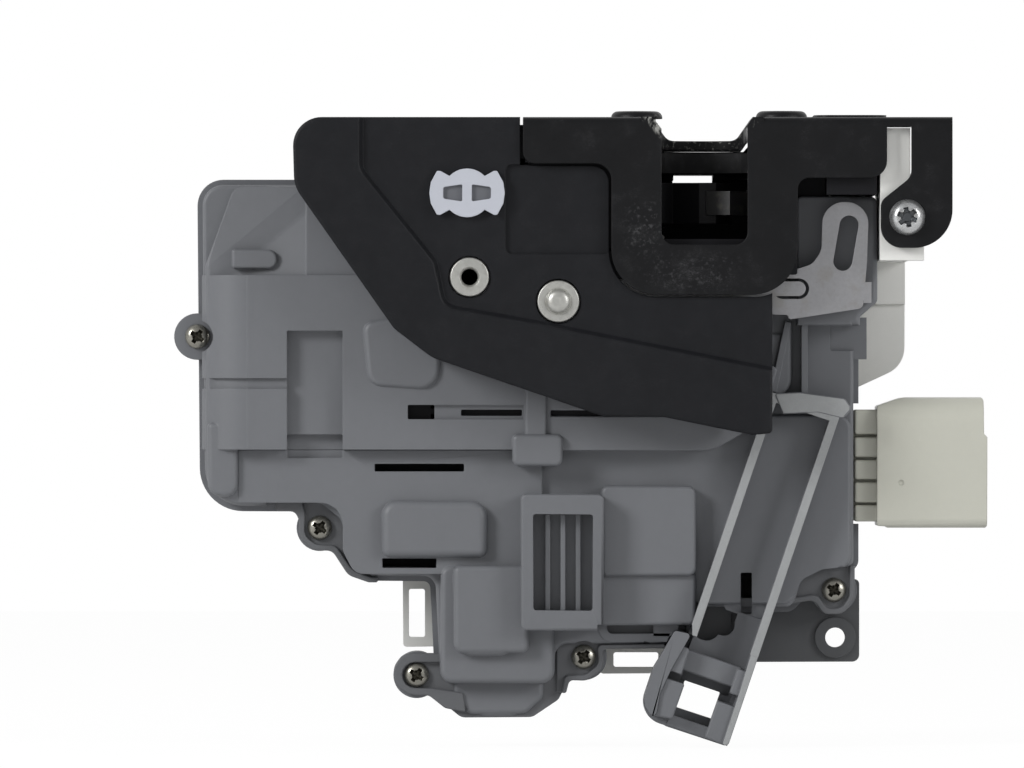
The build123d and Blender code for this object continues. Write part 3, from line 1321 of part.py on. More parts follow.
with BuildPart() as connector_shell:
    with BuildSketch(Plane.YZ.offset(PLUG_LEFT)):
        with Locations((PLUG_MID_Y, PLUG_MID_Z)):
            RectangleRounded(PLUG_DEEP, PLUG_TALL, 2.2)
    extrude(amount=PLUG_RIGHT - PLUG_LEFT)
    # collar round the mouth
    with BuildSketch(Plane.YZ.offset(PLUG_RIGHT - 2.4)):
        with Locations((PLUG_MID_Y, PLUG_MID_Z)):
            RectangleRounded(PLUG_DEEP + 0.8, PLUG_TALL + 0.8, 2.4)
    extrude(amount=2.4)
    # neck through the housing wall, with its inner flange
    with BuildSketch(Plane.YZ.offset(WALL_IN - SEAT)):
        with Locations((NECK_MID_Y, NECK_MID_Z)):
            Rectangle(NECK_BACK_Y - NECK_Y, NECK_TOP - NECK_BOTTOM)
    extrude(amount=PLUG_LEFT - WALL_IN + SEAT)
    # outer ribs on the neck
    with BuildSketch(Plane.YZ.offset(HOUSE_RIGHT + SEAT)):
        for z in (-62.0, -67.0, -71.9, -76.5, -81.2, -84.2):
            with Locations((NECK_MID_Y, z)):
                Rectangle(NECK_BACK_Y - NECK_Y + 3.2, 1.5)
    extrude(amount=PLUG_LEFT - HOUSE_RIGHT - SEAT)
    # mouth
    with BuildSketch(Plane.YZ.offset(PLUG_RIGHT + 1)):
        with Locations((PLUG_MID_Y, PLUG_MID_Z)):
            RectangleRounded(PLUG_DEEP - 2 * PLUG_WALL, PLUG_TALL - 2 * PLUG_WALL, 1.2)
    extrude(amount=-(PLUG_RIGHT - PLUG_LEFT - 2.0), mode=Mode.SUBTRACT)
    # coding ribs inside and the latch nose outside
    with BuildSketch(Plane.YZ.offset(PLUG_LEFT + 2)):
        key_y = PLUG_Y + PLUG_WALL + 0.6
        with Locations((key_y, PLUG_MID_Z - 5), (key_y, PLUG_MID_Z + 8)):
            Rectangle(1.4, 1.4)
    extrude(amount=PLUG_RIGHT - PLUG_LEFT - 4)
    with BuildSketch(facing(PLUG_Y + 0.3)):
        latch_top = [(50.5, PLUG_MID_Z + 3.5, 0.6), (55.0, PLUG_MID_Z + 3.4, 0.6)]
        outline(*latch_top, (55.1, PLUG_MID_Z - 3.5, 0.6), (50.4, PLUG_MID_Z - 3.4, 0.6))
    extrude(amount=1.1)
    # seats of the contact pins
    with BuildSketch(Plane.YZ.offset(0)):
        with Locations((PLUG_MID_Y, PLUG_MID_Z)):
            with GridLocations(4.4, PIN_PITCH, PIN_ROWS, PIN_COUNT):
                Rectangle(PIN_W, PIN_W)
    extrude(amount=80, mode=Mode.SUBTRACT)

connector_shell.part.label = "connector_shell"
export_step(connector_shell.part, "parts/connector_shell.step")

with BuildPart() as connector_pins:
    with BuildSketch(Plane.YZ.offset(WALL_IN - 5)):
        with Locations((PLUG_MID_Y, PLUG_MID_Z)):
            with GridLocations(4.4, PIN_PITCH, PIN_ROWS, PIN_COUNT):
                Rectangle(PIN_W, PIN_W)
    extrude(amount=PLUG_RIGHT - 6 - WALL_IN + 5)

connector_pins.part.label = "connector_pins"
export_step(connector_pins.part, "parts/connector_pins.step")

STRIP_W = 1.4
STRIP_T = 0.8

with BuildPart() as conductor_strips:
    for i in range(5):
        z = -66.0 - 3.2 * i
        end_x = 2.0 - 5.0 * i
        end_z = -52.0 - 1.5 * i
        with BuildSketch(facing(HOUSE_FLOOR_Y)):
            with BuildLine() as run:
                FilletPolyline((WALL_IN - 5, z), (end_x, z), (end_x, end_z), radius=1.5)
            trace(run.edges(), line_width=STRIP_W)
        extrude(amount=STRIP_T)

conductor_strips.part.label = "conductor_strips"
export_step(conductor_strips.part, "parts/conductor_strips.step")

# ------------------------------------------------------------- worm drives
LEAD = WORM_PITCH / (2 * math.pi * WORM_MEAN_R)
THREAD_START = WORM_LEN / 2 - 2 * WORM_PITCH
TERMINAL = (1.6, 0.6, 3.0)
LOCK_WORM_AT = Plane(
    origin=(LOCK_MOTOR_X, DRIVE_Y, LOCK_WORM_MID + WORM_LEN / 2), x_dir=(1, 0, 0), z_dir=(0, 0, -1)
)
SAFE_WORM_AT = Plane(
    origin=(SAFE_WORM_MID - WORM_LEN / 2, DRIVE_Y, SAFE_MOTOR_Z), x_dir=(0, 0, 1), z_dir=(1, 0, 0)
)


def drive_worm(reach):
    """Single-start worm along +Z with the motor shaft behind it."""
    with BuildPart() as worm:
        with BuildSketch():
            Circle(WORM_ROOT_R)
        extrude(amount=WORM_LEN)
        with BuildLine() as path:
            Helix(WORM_PITCH, WORM_LEN - 2 * THREAD_START, WORM_ROOT_R - 0.2, center=(0, 0, THREAD_START))
        depth = WORM_R - WORM_ROOT_R + 0.2
        foot = WORM_PITCH * 0.29
        tip = WORM_PITCH * 0.14
        with BuildSketch(Plane(origin=path.edges()[0] @ 0, x_dir=(1, 0, 0), z_dir=(0, 1, 0))):
            Polygon((0, -foot), (depth, -tip), (depth, tip), (0, foot), align=None)
        sweep(path=path.edges(), is_frenet=True)
        with BuildSketch(Plane.XY.offset(WORM_LEN + 1.5)):
            Circle(SHAFT_R)
        extrude(amount=-WORM_LEN - 1.5 - reach)
    return worm.part


def worm_wheel(teeth, mesh_angle, pinion_teeth, pinion_angle):
    """Wheel with slanted teeth and a small pinion behind it, round +Z at the origin."""
    pitch_r = teeth * WORM_PITCH / (2 * math.pi)
    root_r = pitch_r - (WORM_R - WORM_MEAN_R) - 0.25
    tip_r = pitch_r + (WORM_MEAN_R - WORM_ROOT_R) - 0.25
    slant = math.degrees(WHEEL_T * LEAD / pitch_r)
    foot = WORM_PITCH * 0.33 - MESH_GAP / 2
    tip = WORM_PITCH * 0.17 - MESH_GAP / 4
    step = 360 / teeth
    with BuildPart() as tooth:
        for level, turn in ((-WHEEL_T / 2, slant / 2), (WHEEL_T / 2, -slant / 2)):
            lean = mesh_angle + step / 2 + turn * 1.0
            with BuildSketch(Plane(origin=(0, 0, level), x_dir=Vector(1, 0, 0).rotate(Axis.Z, lean))):
                Polygon(
                    (root_r - 0.4, -foot), (tip_r, -tip), (tip_r, tip), (root_r - 0.4, foot), align=None
                )
        loft(ruled=True)
    pinion_r = pinion_teeth * RACK_MODULE / 2
    with BuildPart() as wheel:
        with BuildSketch(Plane.XY.offset(-WHEEL_T / 2)):
            Circle(root_r)
        extrude(amount=WHEEL_T)
        with PolarLocations(0, teeth):
            add(tooth.part)
        # lightened web on the front
        with BuildSketch(Plane.XY.offset(WHEEL_T / 2)):
            Circle(root_r - 1.8)
            Circle(AXLE_R + 1.8, mode=Mode.SUBTRACT)
        extrude(amount=-1.4, mode=Mode.SUBTRACT)
        # pinion on the back
        with BuildSketch(Plane.XY.offset(-WHEEL_T / 2)):
            Circle(pinion_r - 1.05 * RACK_MODULE)
            turn = pinion_angle + 180 / pinion_teeth
            with PolarLocations(pinion_r, pinion_teeth, start_angle=turn):
                root_to_tip = [(-1.4, -0.62), (0, -0.52), (0.7, -0.2)]
                Polygon(*root_to_tip, (0.7, 0.2), (0, 0.52), (-1.4, 0.62), align=None)
        extrude(amount=-PINION_T)
        with BuildSketch(Plane.XY.offset(WHEEL_T)):
            Circle(AXLE_R + RUN)
        extrude(amount=-20, mode=Mode.SUBTRACT)
    return wheel.part


def rack_bar(low, high, contact):
    """Toothed bar along x; its teeth point down to y = 0 at the pitch line."""
    with BuildPart() as rack:
        with BuildSketch():
            with Locations(((low + high) / 2, 1.05 * RACK_MODULE + RACK_BODY / 2 - 0.5)):
                Rectangle(high - low, RACK_BODY - 1)
            pitch = math.pi * RACK_MODULE
            first = math.ceil((low + 1 - contact) / pitch)
            last = math.floor((high - 1 - contact) / pitch)
            with Locations(*[(contact + i * pitch, 0) for i in range(first, last + 1)]):
                Polygon(
                    (-0.85, 1.2), (-0.5, 0), (-0.22, -0.7), (0.22, -0.7), (0.5, 0), (0.85, 1.2), align=None
                )
        extrude(amount=PINION_T - 0.3)
    return rack.part


with BuildPart() as lock_worm:
    with Locations(LOCK_WORM_AT.location):
        add(drive_worm(MOTOR_STANDOFF + SHAFT_GRIP))

lock_worm.part.label = "lock_worm"
export_step(lock_worm.part, "parts/lock_worm.step")

with BuildPart() as safe_worm:
    with Locations(SAFE_WORM_AT.location):
        add(drive_worm(MOTOR_STANDOFF + SHAFT_GRIP))

safe_worm.part.label = "safe_worm"
export_step(safe_worm.part, "parts/safe_worm.step")

with BuildPart() as lock_wheel:
    with Locations(seen_at(LOCK_WHEEL[0], DRIVE_Y, LOCK_WHEEL[1])):
        add(worm_wheel(LOCK_TEETH, 180, LOCK_PINION_TEETH, 0))

lock_wheel.part.label = "lock_wheel"
export_step(lock_wheel.part, "parts/lock_wheel.step")

with BuildPart() as safe_wheel:
    with Locations(seen_at(SAFE_WHEEL[0], DRIVE_Y, SAFE_WHEEL[1])):
        add(worm_wheel(SAFE_TEETH, 270, SAFE_PINION_TEETH, 90))

safe_wheel.part.label = "safe_wheel"
export_step(safe_wheel.part, "parts/safe_wheel.step")

with BuildPart() as lock_slider:
    with Locations(seen_at(LOCK_RACK_X, RACK_BACK_Y, LOCK_WHEEL[1], along=(0, 0, -1))):
        add(rack_bar(LOCK_WHEEL[1] - LOCK_RACK[1], LOCK_WHEEL[1] - LOCK_RACK[0], 0))

lock_slider.part.label = "lock_slider"
export_step(lock_slider.part, "parts/lock_slider.step")

with BuildPart() as safe_slider:
    with Locations(seen_at(SAFE_WHEEL[0], RACK_BACK_Y, SAFE_RACK_Z)):
        add(rack_bar(SAFE_RACK[0] - SAFE_WHEEL[0], SAFE_RACK[1] - SAFE_WHEEL[0], 0))

safe_slider.part.label = "safe_slider"
export_step(safe_slider.part, "parts/safe_slider.step")


def motor_can(radius):
    """Drawn steel can along +Z with its bearing boss, bored for the shaft."""
    with BuildPart() as can:
        with BuildSketch():
            Circle(radius)
        extrude(amount=MOTOR_LEN)
        fillet(can.edges().group_by(Axis.Z)[-1], radius=1.2)
        with BuildSketch(Plane.XY.offset(MOTOR_LEN)):
            Circle(SHAFT_R + 2)
        extrude(amount=1.6)
        with BuildSketch(Plane.XY.offset(MOTOR_LEN + 2)):
            Circle(SHAFT_R + RUN)
        extrude(amount=-10, mode=Mode.SUBTRACT)
    return can.part


def motor_cap(radius):
    """Brush cap at the can's back end with two blade terminals."""
    with BuildPart() as cap:
        with BuildSketch():
            Circle(radius - 1.6)
        extrude(amount=-CAP_T)
        fillet(cap.edges().group_by(Axis.Z)[0], radius=0.6)
        with BuildSketch(Plane.XY):
            with Locations((radius - 3.4, 0), (3.4 - radius, 0)):
                Rectangle(TERMINAL[1], TERMINAL[0])
        extrude(amount=-CAP_T - TERMINAL[2])
    return cap.part


with BuildPart() as lock_motor_can:
    with Locations(LOCK_MOTOR_AT.location):
        add(motor_can(MOTOR_R))

lock_motor_can.part.label = "lock_motor_can"
export_step(lock_motor_can.part, "parts/lock_motor_can.step")

with BuildPart() as lock_motor_cap:
    with Locations(LOCK_MOTOR_AT.location):
        add(motor_cap(MOTOR_R))

lock_motor_cap.part.label = "lock_motor_cap"
export_step(lock_motor_cap.part, "parts/lock_motor_cap.step")

with BuildPart() as safe_motor_can:
    with Locations(SAFE_MOTOR_AT.location):
        add(motor_can(SAFE_MOTOR_R))

safe_motor_can.part.label = "safe_motor_can"
export_step(safe_motor_can.part, "parts/safe_motor_can.step")

with BuildPart() as safe_motor_cap:
    with Locations(SAFE_MOTOR_AT.location):
        add(motor_cap(SAFE_MOTOR_R))

safe_motor_cap.part.label = "safe_motor_cap"
export_step(safe_motor_cap.part, "parts/safe_motor_cap.step")

# ------------------------------------------------------ switches and springs
SWITCH = (12.8, 6.4, 5.8)
SWITCHES = {"claw_switch": (-4.0, -44.0), "pawl_switch": (14.0, -44.0), "lock_switch": (-56.0, -50.0)}


def microswitch(x, z):
    """Sealed switch lying on the housing floor, lever side up."""
    long, tall, deep = SWITCH
    with BuildPart() as switch:
        with BuildSketch(facing(HOUSE_FLOOR_Y)):
            with Locations((x, z)):
                Rectangle(long, tall)
                with Locations((-long / 2 + 2, -tall / 2 + 1.6), (long / 2 - 2, -tall / 2 + 1.6)):
                    Circle(0.9, mode=Mode.SUBTRACT)
        extrude(amount=deep)
        with BuildSketch(facing(HOUSE_FLOOR_Y - deep / 2 + 0.7)):
            with Locations((x - 1.5, z + tall / 2 + 0.5)):
                Rectangle(2.0, 1.6)
        extrude(amount=1.4)
        with BuildSketch(facing(HOUSE_FLOOR_Y - deep / 2 + 0.3)):
            leg_z = z - tall / 2 - 1.0
            with Locations((x - 4.5, leg_z), (x, leg_z), (x + 4.5, leg_z)):
                Rectangle(1.2, 2.4)
        extrude(amount=0.6)
    return switch.part


with BuildPart() as claw_switch:
    add(microswitch(*SWITCHES["claw_switch"]))

claw_switch.part.label = "claw_switch"
export_step(claw_switch.part, "parts/claw_switch.step")

with BuildPart() as pawl_switch:
    add(microswitch(*SWITCHES["pawl_switch"]))

pawl_switch.part.label = "pawl_switch"
export_step(pawl_switch.part, "parts/pawl_switch.step")

with BuildPart() as lock_switch:
    add(microswitch(*SWITCHES["lock_switch"]))

lock_switch.part.label = "lock_switch"
export_step(lock_switch.part, "parts/lock_switch.step")


def coil(radius, wire, turns):
    """Torsion coil along +Z, from z = wire radius upwards."""
    pitch = 2 * wire + 0.12
    with BuildPart() as spring:
        with BuildLine() as path:
            Helix(pitch, turns * pitch, radius, center=(0, 0, wire))
        with BuildSketch(Plane(origin=path.edges()[0] @ 0, z_dir=path.edges()[0] % 0)):
            Circle(wire)
        sweep(path=path.edges(), is_frenet=True)
    return spring.part


with BuildPart() as claw_spring:
    with Locations((CLAW_X, CLAW_Y, CASE_IN_FLOOR_Z + 0.02)):
        add(coil(PIVOT_R + 1.4, 0.5, 2))

claw_spring.part.label = "claw_spring"
export_step(claw_spring.part, "parts/claw_spring.step")

with BuildPart() as pawl_spring:
    with Locations((PAWL_X, PAWL_Y, CASE_IN_FLOOR_Z + 0.02)):
        add(coil(PIVOT_R + 1.0, 0.45, 3))

pawl_spring.part.label = "pawl_spring"
export_step(pawl_spring.part, "parts/pawl_spring.step")

with BuildPart() as lever_spring:
    with Locations(seen_at(LEVER_PIVOT[0], LEVER_Y - 0.02, LEVER_PIVOT[1])):
        add(coil(LEVER_HEAD_R + 0.6, 0.4, 3))

lever_spring.part.label = "lever_spring"
export_step(lever_spring.part, "parts/lever_spring.step")
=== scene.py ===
import json
import math

import bmesh
import bpy
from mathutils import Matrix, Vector


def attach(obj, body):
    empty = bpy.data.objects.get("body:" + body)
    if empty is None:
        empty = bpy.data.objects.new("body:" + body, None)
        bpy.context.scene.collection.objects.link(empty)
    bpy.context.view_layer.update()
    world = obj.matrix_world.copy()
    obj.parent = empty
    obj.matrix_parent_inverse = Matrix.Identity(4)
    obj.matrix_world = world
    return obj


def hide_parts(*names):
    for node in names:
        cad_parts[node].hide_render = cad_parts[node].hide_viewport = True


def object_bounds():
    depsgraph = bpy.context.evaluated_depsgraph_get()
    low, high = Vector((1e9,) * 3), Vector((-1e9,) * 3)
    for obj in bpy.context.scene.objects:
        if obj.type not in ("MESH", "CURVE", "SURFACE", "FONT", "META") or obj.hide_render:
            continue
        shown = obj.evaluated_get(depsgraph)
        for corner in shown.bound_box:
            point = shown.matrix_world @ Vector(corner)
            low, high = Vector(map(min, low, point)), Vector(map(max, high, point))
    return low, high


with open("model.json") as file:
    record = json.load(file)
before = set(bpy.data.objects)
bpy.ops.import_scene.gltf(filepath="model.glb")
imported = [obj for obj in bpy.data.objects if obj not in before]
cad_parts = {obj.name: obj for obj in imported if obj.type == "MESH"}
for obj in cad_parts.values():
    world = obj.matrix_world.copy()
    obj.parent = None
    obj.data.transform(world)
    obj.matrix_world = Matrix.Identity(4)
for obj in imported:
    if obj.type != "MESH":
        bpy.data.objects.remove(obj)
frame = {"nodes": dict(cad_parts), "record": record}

CAD_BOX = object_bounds()
MM = 0.001
NODES = frame["nodes"]


# ------------------------------------------------------------------ finishes


class Field:
    """A value that changes over a surface. Sums and products of fields add Math nodes."""

    def __init__(self, finish, socket):
        self.finish = finish
        self.socket = socket

    def maths(self, operation, first, second=0.0):
        return self.finish.add("ShaderNodeMath", {"operation": operation}, {0: first, 1: second})

    def __add__(self, other):
        return self.maths("ADD", self, other)

    __radd__ = __add__

    def __sub__(self, other):
        return self.maths("SUBTRACT", self, other)

    def __rsub__(self, other):
        return self.maths("SUBTRACT", other, self)

    def __mul__(self, other):
        return self.maths("MULTIPLY", self, other)

    def __abs__(self):
        return self.maths("ABSOLUTE", self)

    def most(self, other):
        return self.maths("MAXIMUM", self, other)

    def least(self, other):
        return self.maths("MINIMUM", self, other)

    def rise(self, low, high):
        """0 below low, 1 above high, smooth between them."""
        settings = {"interpolation_type": "SMOOTHSTEP"}
        return self.finish.add(
            "ShaderNodeMapRange", settings, {"Value": self, "From Min": low, "From Max": high}
        )

    def fall(self, low, high):
        return 1 - self.rise(low, high)

    def within(self, low, high, soft):
        """1 between low and high, and 0 outside them, over a soft edge."""
        return self.rise(low - soft, low + soft) * self.fall(high - soft, high + soft)


class Finish:
    """One material: its nodes, its place on the object and its surface shader."""

    def __init__(self, name):
        self.material = bpy.data.materials.new(name)
        self.material.use_nodes = True
        self.tree = self.material.node_tree
        self.tree.nodes.clear()
        self.place = self.add("ShaderNodeTexCoord", output="Object")

    def add(self, kind, settings=None, inputs=None, output=0):
        """Any node: its settings first, then the values or links of its sockets."""
        node = self.tree.nodes.new(kind)
        for name, value in (settings or {}).items():
            setattr(node, name, value)
        for name, value in (inputs or {}).items():
            if isinstance(value, Field):
                self.tree.links.new(value.socket, node.inputs[name])
            else:
                node.inputs[name].default_value = value
        return Field(self, node.outputs[output]) if node.outputs else None

    def axis(self, name):
        return self.add("ShaderNodeSeparateXYZ", None, {"Vector": self.place}, name)

    def noise(self, size, detail=3.0, stretch=(1, 1, 1), turn=(0, 0, 0), roughness=0.55):
        """Noise whose patches are about size metres across."""
        place = self.place
        if stretch != (1, 1, 1) or turn != (0, 0, 0):
            place = self.add(
                "ShaderNodeMapping", None, {"Vector": place, "Scale": stretch, "Rotation": turn}
            )
        settings = {"Vector": place, "Scale": 1 / size, "Detail": detail, "Roughness": roughness}
        return self.add("ShaderNodeTexNoise", None, settings)

    def cells(self, size):
        """Distance to the nearest of many points, which lie about size metres apart."""
        inputs = {"Vector": self.place, "Scale": 1 / size}
        return self.add("ShaderNodeTexVoronoi", None, inputs)

    def scratches(self, size, turn, narrow=0.012):
        """Thin lines along one direction of the front face, turned by an angle about Y."""
        lines = self.noise(size, 2.0, (1, 1, 14), (0, turn, 0))
        return abs(lines - 0.5).fall(0.0, narrow) * self.noise(size * 3, 1.0).rise(0.48, 0.62)

    def mix(self, first, second, share):
        """The second colour over the first by a share, which is a field."""
        node = self.tree.nodes.new("ShaderNodeMix")
        node.data_type = "RGBA"
        for socket, value in ((node.inputs[6], first), (node.inputs[7], second)):
            if isinstance(value, Field):
                self.tree.links.new(value.socket, socket)
            else:
                socket.default_value = (*value, 1.0)
        self.tree.links.new(share.socket, node.inputs[0])
        return Field(self, node.outputs[2])

    def bump(self, height, depth, below=None):
        """A normal from a height between 0 and 1, depth metres high."""
        inputs = {"Height": height, "Distance": depth, "Strength": 1.0}
        if below is not None:
            inputs["Normal"] = below
        return self.add("ShaderNodeBump", None, inputs)

    def surface(self, colour, rough, normal=None, metal=0.0, gloss=0.5):
        """Closes the material with its surface shader."""
        inputs = {"Base Color": colour, "Roughness": rough, "Metallic": metal, "Specular IOR Level": gloss}
        if isinstance(colour, tuple):
            inputs["Base Color"] = (*colour, 1.0)
        if normal is not None:
            inputs["Normal"] = normal
        shader = self.add("ShaderNodeBsdfPrincipled", None, inputs)
        self.add("ShaderNodeOutputMaterial", None, {"Surface": shader})
        return self.material


def moulded(
    name, colour, rough=0.5, grain=0.18, depth=0.012, flow=0.08, edge=0.25, scuffed=0.35, gloss=0.4
):
    """Moulded plastic: spark-eroded grain, flow marks, eased edges, light scuffs and settled dust."""
    f = Finish(name)
    flow_marks = f.noise(9 * MM, 3, (1, 1, 0.45))
    mottle = f.noise(1.6 * MM, 4)
    fine = f.noise(grain * MM, 2)
    scuffs = f.scratches(1.1 * MM, 0.6).most(f.scratches(1.4 * MM, -0.9)) * scuffed
    dust = f.cells(2.4 * MM).fall(0.035, 0.075) * f.noise(14 * MM).rise(0.5, 0.6)
    tone = 1 + (flow_marks - 0.5) * flow + (mottle - 0.5) * flow * 0.8 + (fine - 0.5) * flow * 0.6
    tint = f.add("ShaderNodeVectorMath", {"operation": "SCALE"}, {0: colour, "Scale": tone})
    paler = tuple(c * 1.15 + 0.03 for c in colour)
    worn = f.mix(tint, paler, (scuffs * 0.5 + dust * 0.35).least(1.0))
    roughness = rough + (mottle - 0.5) * 0.12 + (flow_marks - 0.5) * 0.08 + scuffs * 0.1
    eased = f.add("ShaderNodeBevel", {"samples": 6}, {"Radius": edge * MM})
    skin = fine * 0.75 + mottle * 0.25 - scuffs * 0.3
    return f.surface(worn, roughness, f.bump(skin, depth * MM, eased), gloss=gloss)


def coated_steel(name, colour):
    """Pressed steel under black dip paint: orange peel, rubbed patches, bare metal in the mouth."""
    f = Finish(name)
    x, y, z = f.axis("X"), f.axis("Y"), f.axis("Z")
    peel = f.noise(0.55 * MM, 2)
    patches = f.noise(6 * MM, 4)
    crumbs = f.noise(0.9 * MM, 5, roughness=0.7)
    # rubbed and pitted places below and beside the mouth
    pit_field = (x.within(-16 * MM, -9 * MM, 2 * MM) * z.within(-28 * MM, -18 * MM, 3 * MM)).most(
        x.within(-12 * MM, 6 * MM, 4 * MM) * z.within(-36 * MM, -29 * MM, 2 * MM) * 0.7
    )
    lines = f.scratches(1.5 * MM, 1.15, 0.02).most(f.scratches(0.9 * MM, 0.35, 0.02))
    rubbed = (crumbs.rise(0.53, 0.66) * 0.8 + lines) * pit_field
    handling = (lines * patches.rise(0.5, 0.65)) * 0.35
    # the striker has taken the paint off along the slopes of the mouth, whose normal is (0.796, -0.606)
    off_slope = (abs(x) - 10.9 * MM) * 0.796 - z * 0.606
    slopes = off_slope.within(-0.2 * MM, 1.3 * MM, 0.5 * MM) * z.within(-8.2 * MM, 0.4 * MM, 0.5 * MM)
    streaks = f.noise(0.6 * MM, 4, (1, 1, 0.3), (0, 0.6, 0), 0.7)
    left = x.fall(-1 * MM, 1 * MM)
    worn = streaks.rise(0.45, 0.6) * left + streaks.rise(0.56, 0.68) * (1 - left) * 0.6
    inner = y.rise(-19.6 * MM, -18.2 * MM) * abs(x).fall(9 * MM, 11 * MM) * z.rise(-12 * MM, -9 * MM)
    bare = (slopes * worn * y.fall(-16 * MM, -10 * MM)).most(inner * crumbs.rise(0.56, 0.62) * 0.35)
    tone = 1 + (patches - 0.5) * 0.5 + (peel - 0.5) * 0.2
    paint = f.add("ShaderNodeVectorMath", {"operation": "SCALE"}, {0: colour, "Scale": tone})
    paint = f.mix(paint, (0.10, 0.10, 0.105), (rubbed * 0.55 + handling).least(1.0))
    shade = f.mix(paint, (0.50, 0.50, 0.47), bare)
    rough = 0.42 + (patches - 0.5) * 0.12 + rubbed * 0.2 - bare * 0.08
    eased = f.add("ShaderNodeBevel", {"samples": 6}, {"Radius": 0.45 * MM})
    height = peel * 0.5 - rubbed * 0.35 - bare * 0.5
    return f.surface(shade, rough, f.bump(height, 0.03 * MM, eased), bare * 0.8, gloss=0.22)


def plated_steel(name, colour, rough=0.38, drawn=0.25, stain=(0.32, 0.30, 0.26), turn=0.2, edge=0.15):
    """Zinc plated steel: passivation mottle, drawing lines, small pits and dulled patches."""
    f = Finish(name)
    mottle = f.noise(0.8 * MM, 4, roughness=0.65)
    patches = f.noise(3.5 * MM, 3)
    lines = f.noise(0.5 * MM, 2, (1, 1, 9), (0, turn, 0))
    pits = f.cells(0.55 * MM).fall(0.08, 0.2) * f.noise(2 * MM).rise(0.5, 0.62)
    tone = 1 + (mottle - 0.5) * 0.28 + (lines - 0.5) * drawn
    plate = f.add("ShaderNodeVectorMath", {"operation": "SCALE"}, {0: colour, "Scale": tone})
    shade = f.mix(plate, stain, (patches.rise(0.52, 0.72) * 0.35 + pits * 0.5).least(1.0))
    roughness = rough + (mottle - 0.5) * 0.2 + (lines - 0.5) * 0.1 + pits * 0.2
    eased = f.add("ShaderNodeBevel", {"samples": 6}, {"Radius": edge * MM})
    height = lines * 0.4 + mottle * 0.4 - pits * 0.5
    return f.surface(shade, roughness, f.bump(height, 0.01 * MM, eased), 0.88)


def soft_rubber(name, colour):
    """Moulded rubber: matt, faintly cloudy, with a bloom on its skin."""
    f = Finish(name)
    bloom = f.noise(2.2 * MM, 4)
    skin = f.noise(0.25 * MM, 2)
    pale = tuple(c * 2.2 + 0.01 for c in colour)
    shade = f.mix(colour, pale, bloom.rise(0.45, 0.75) * 0.6)
    return f.surface(shade, 0.78 + (bloom - 0.5) * 0.15, f.bump(skin, 0.015 * MM))


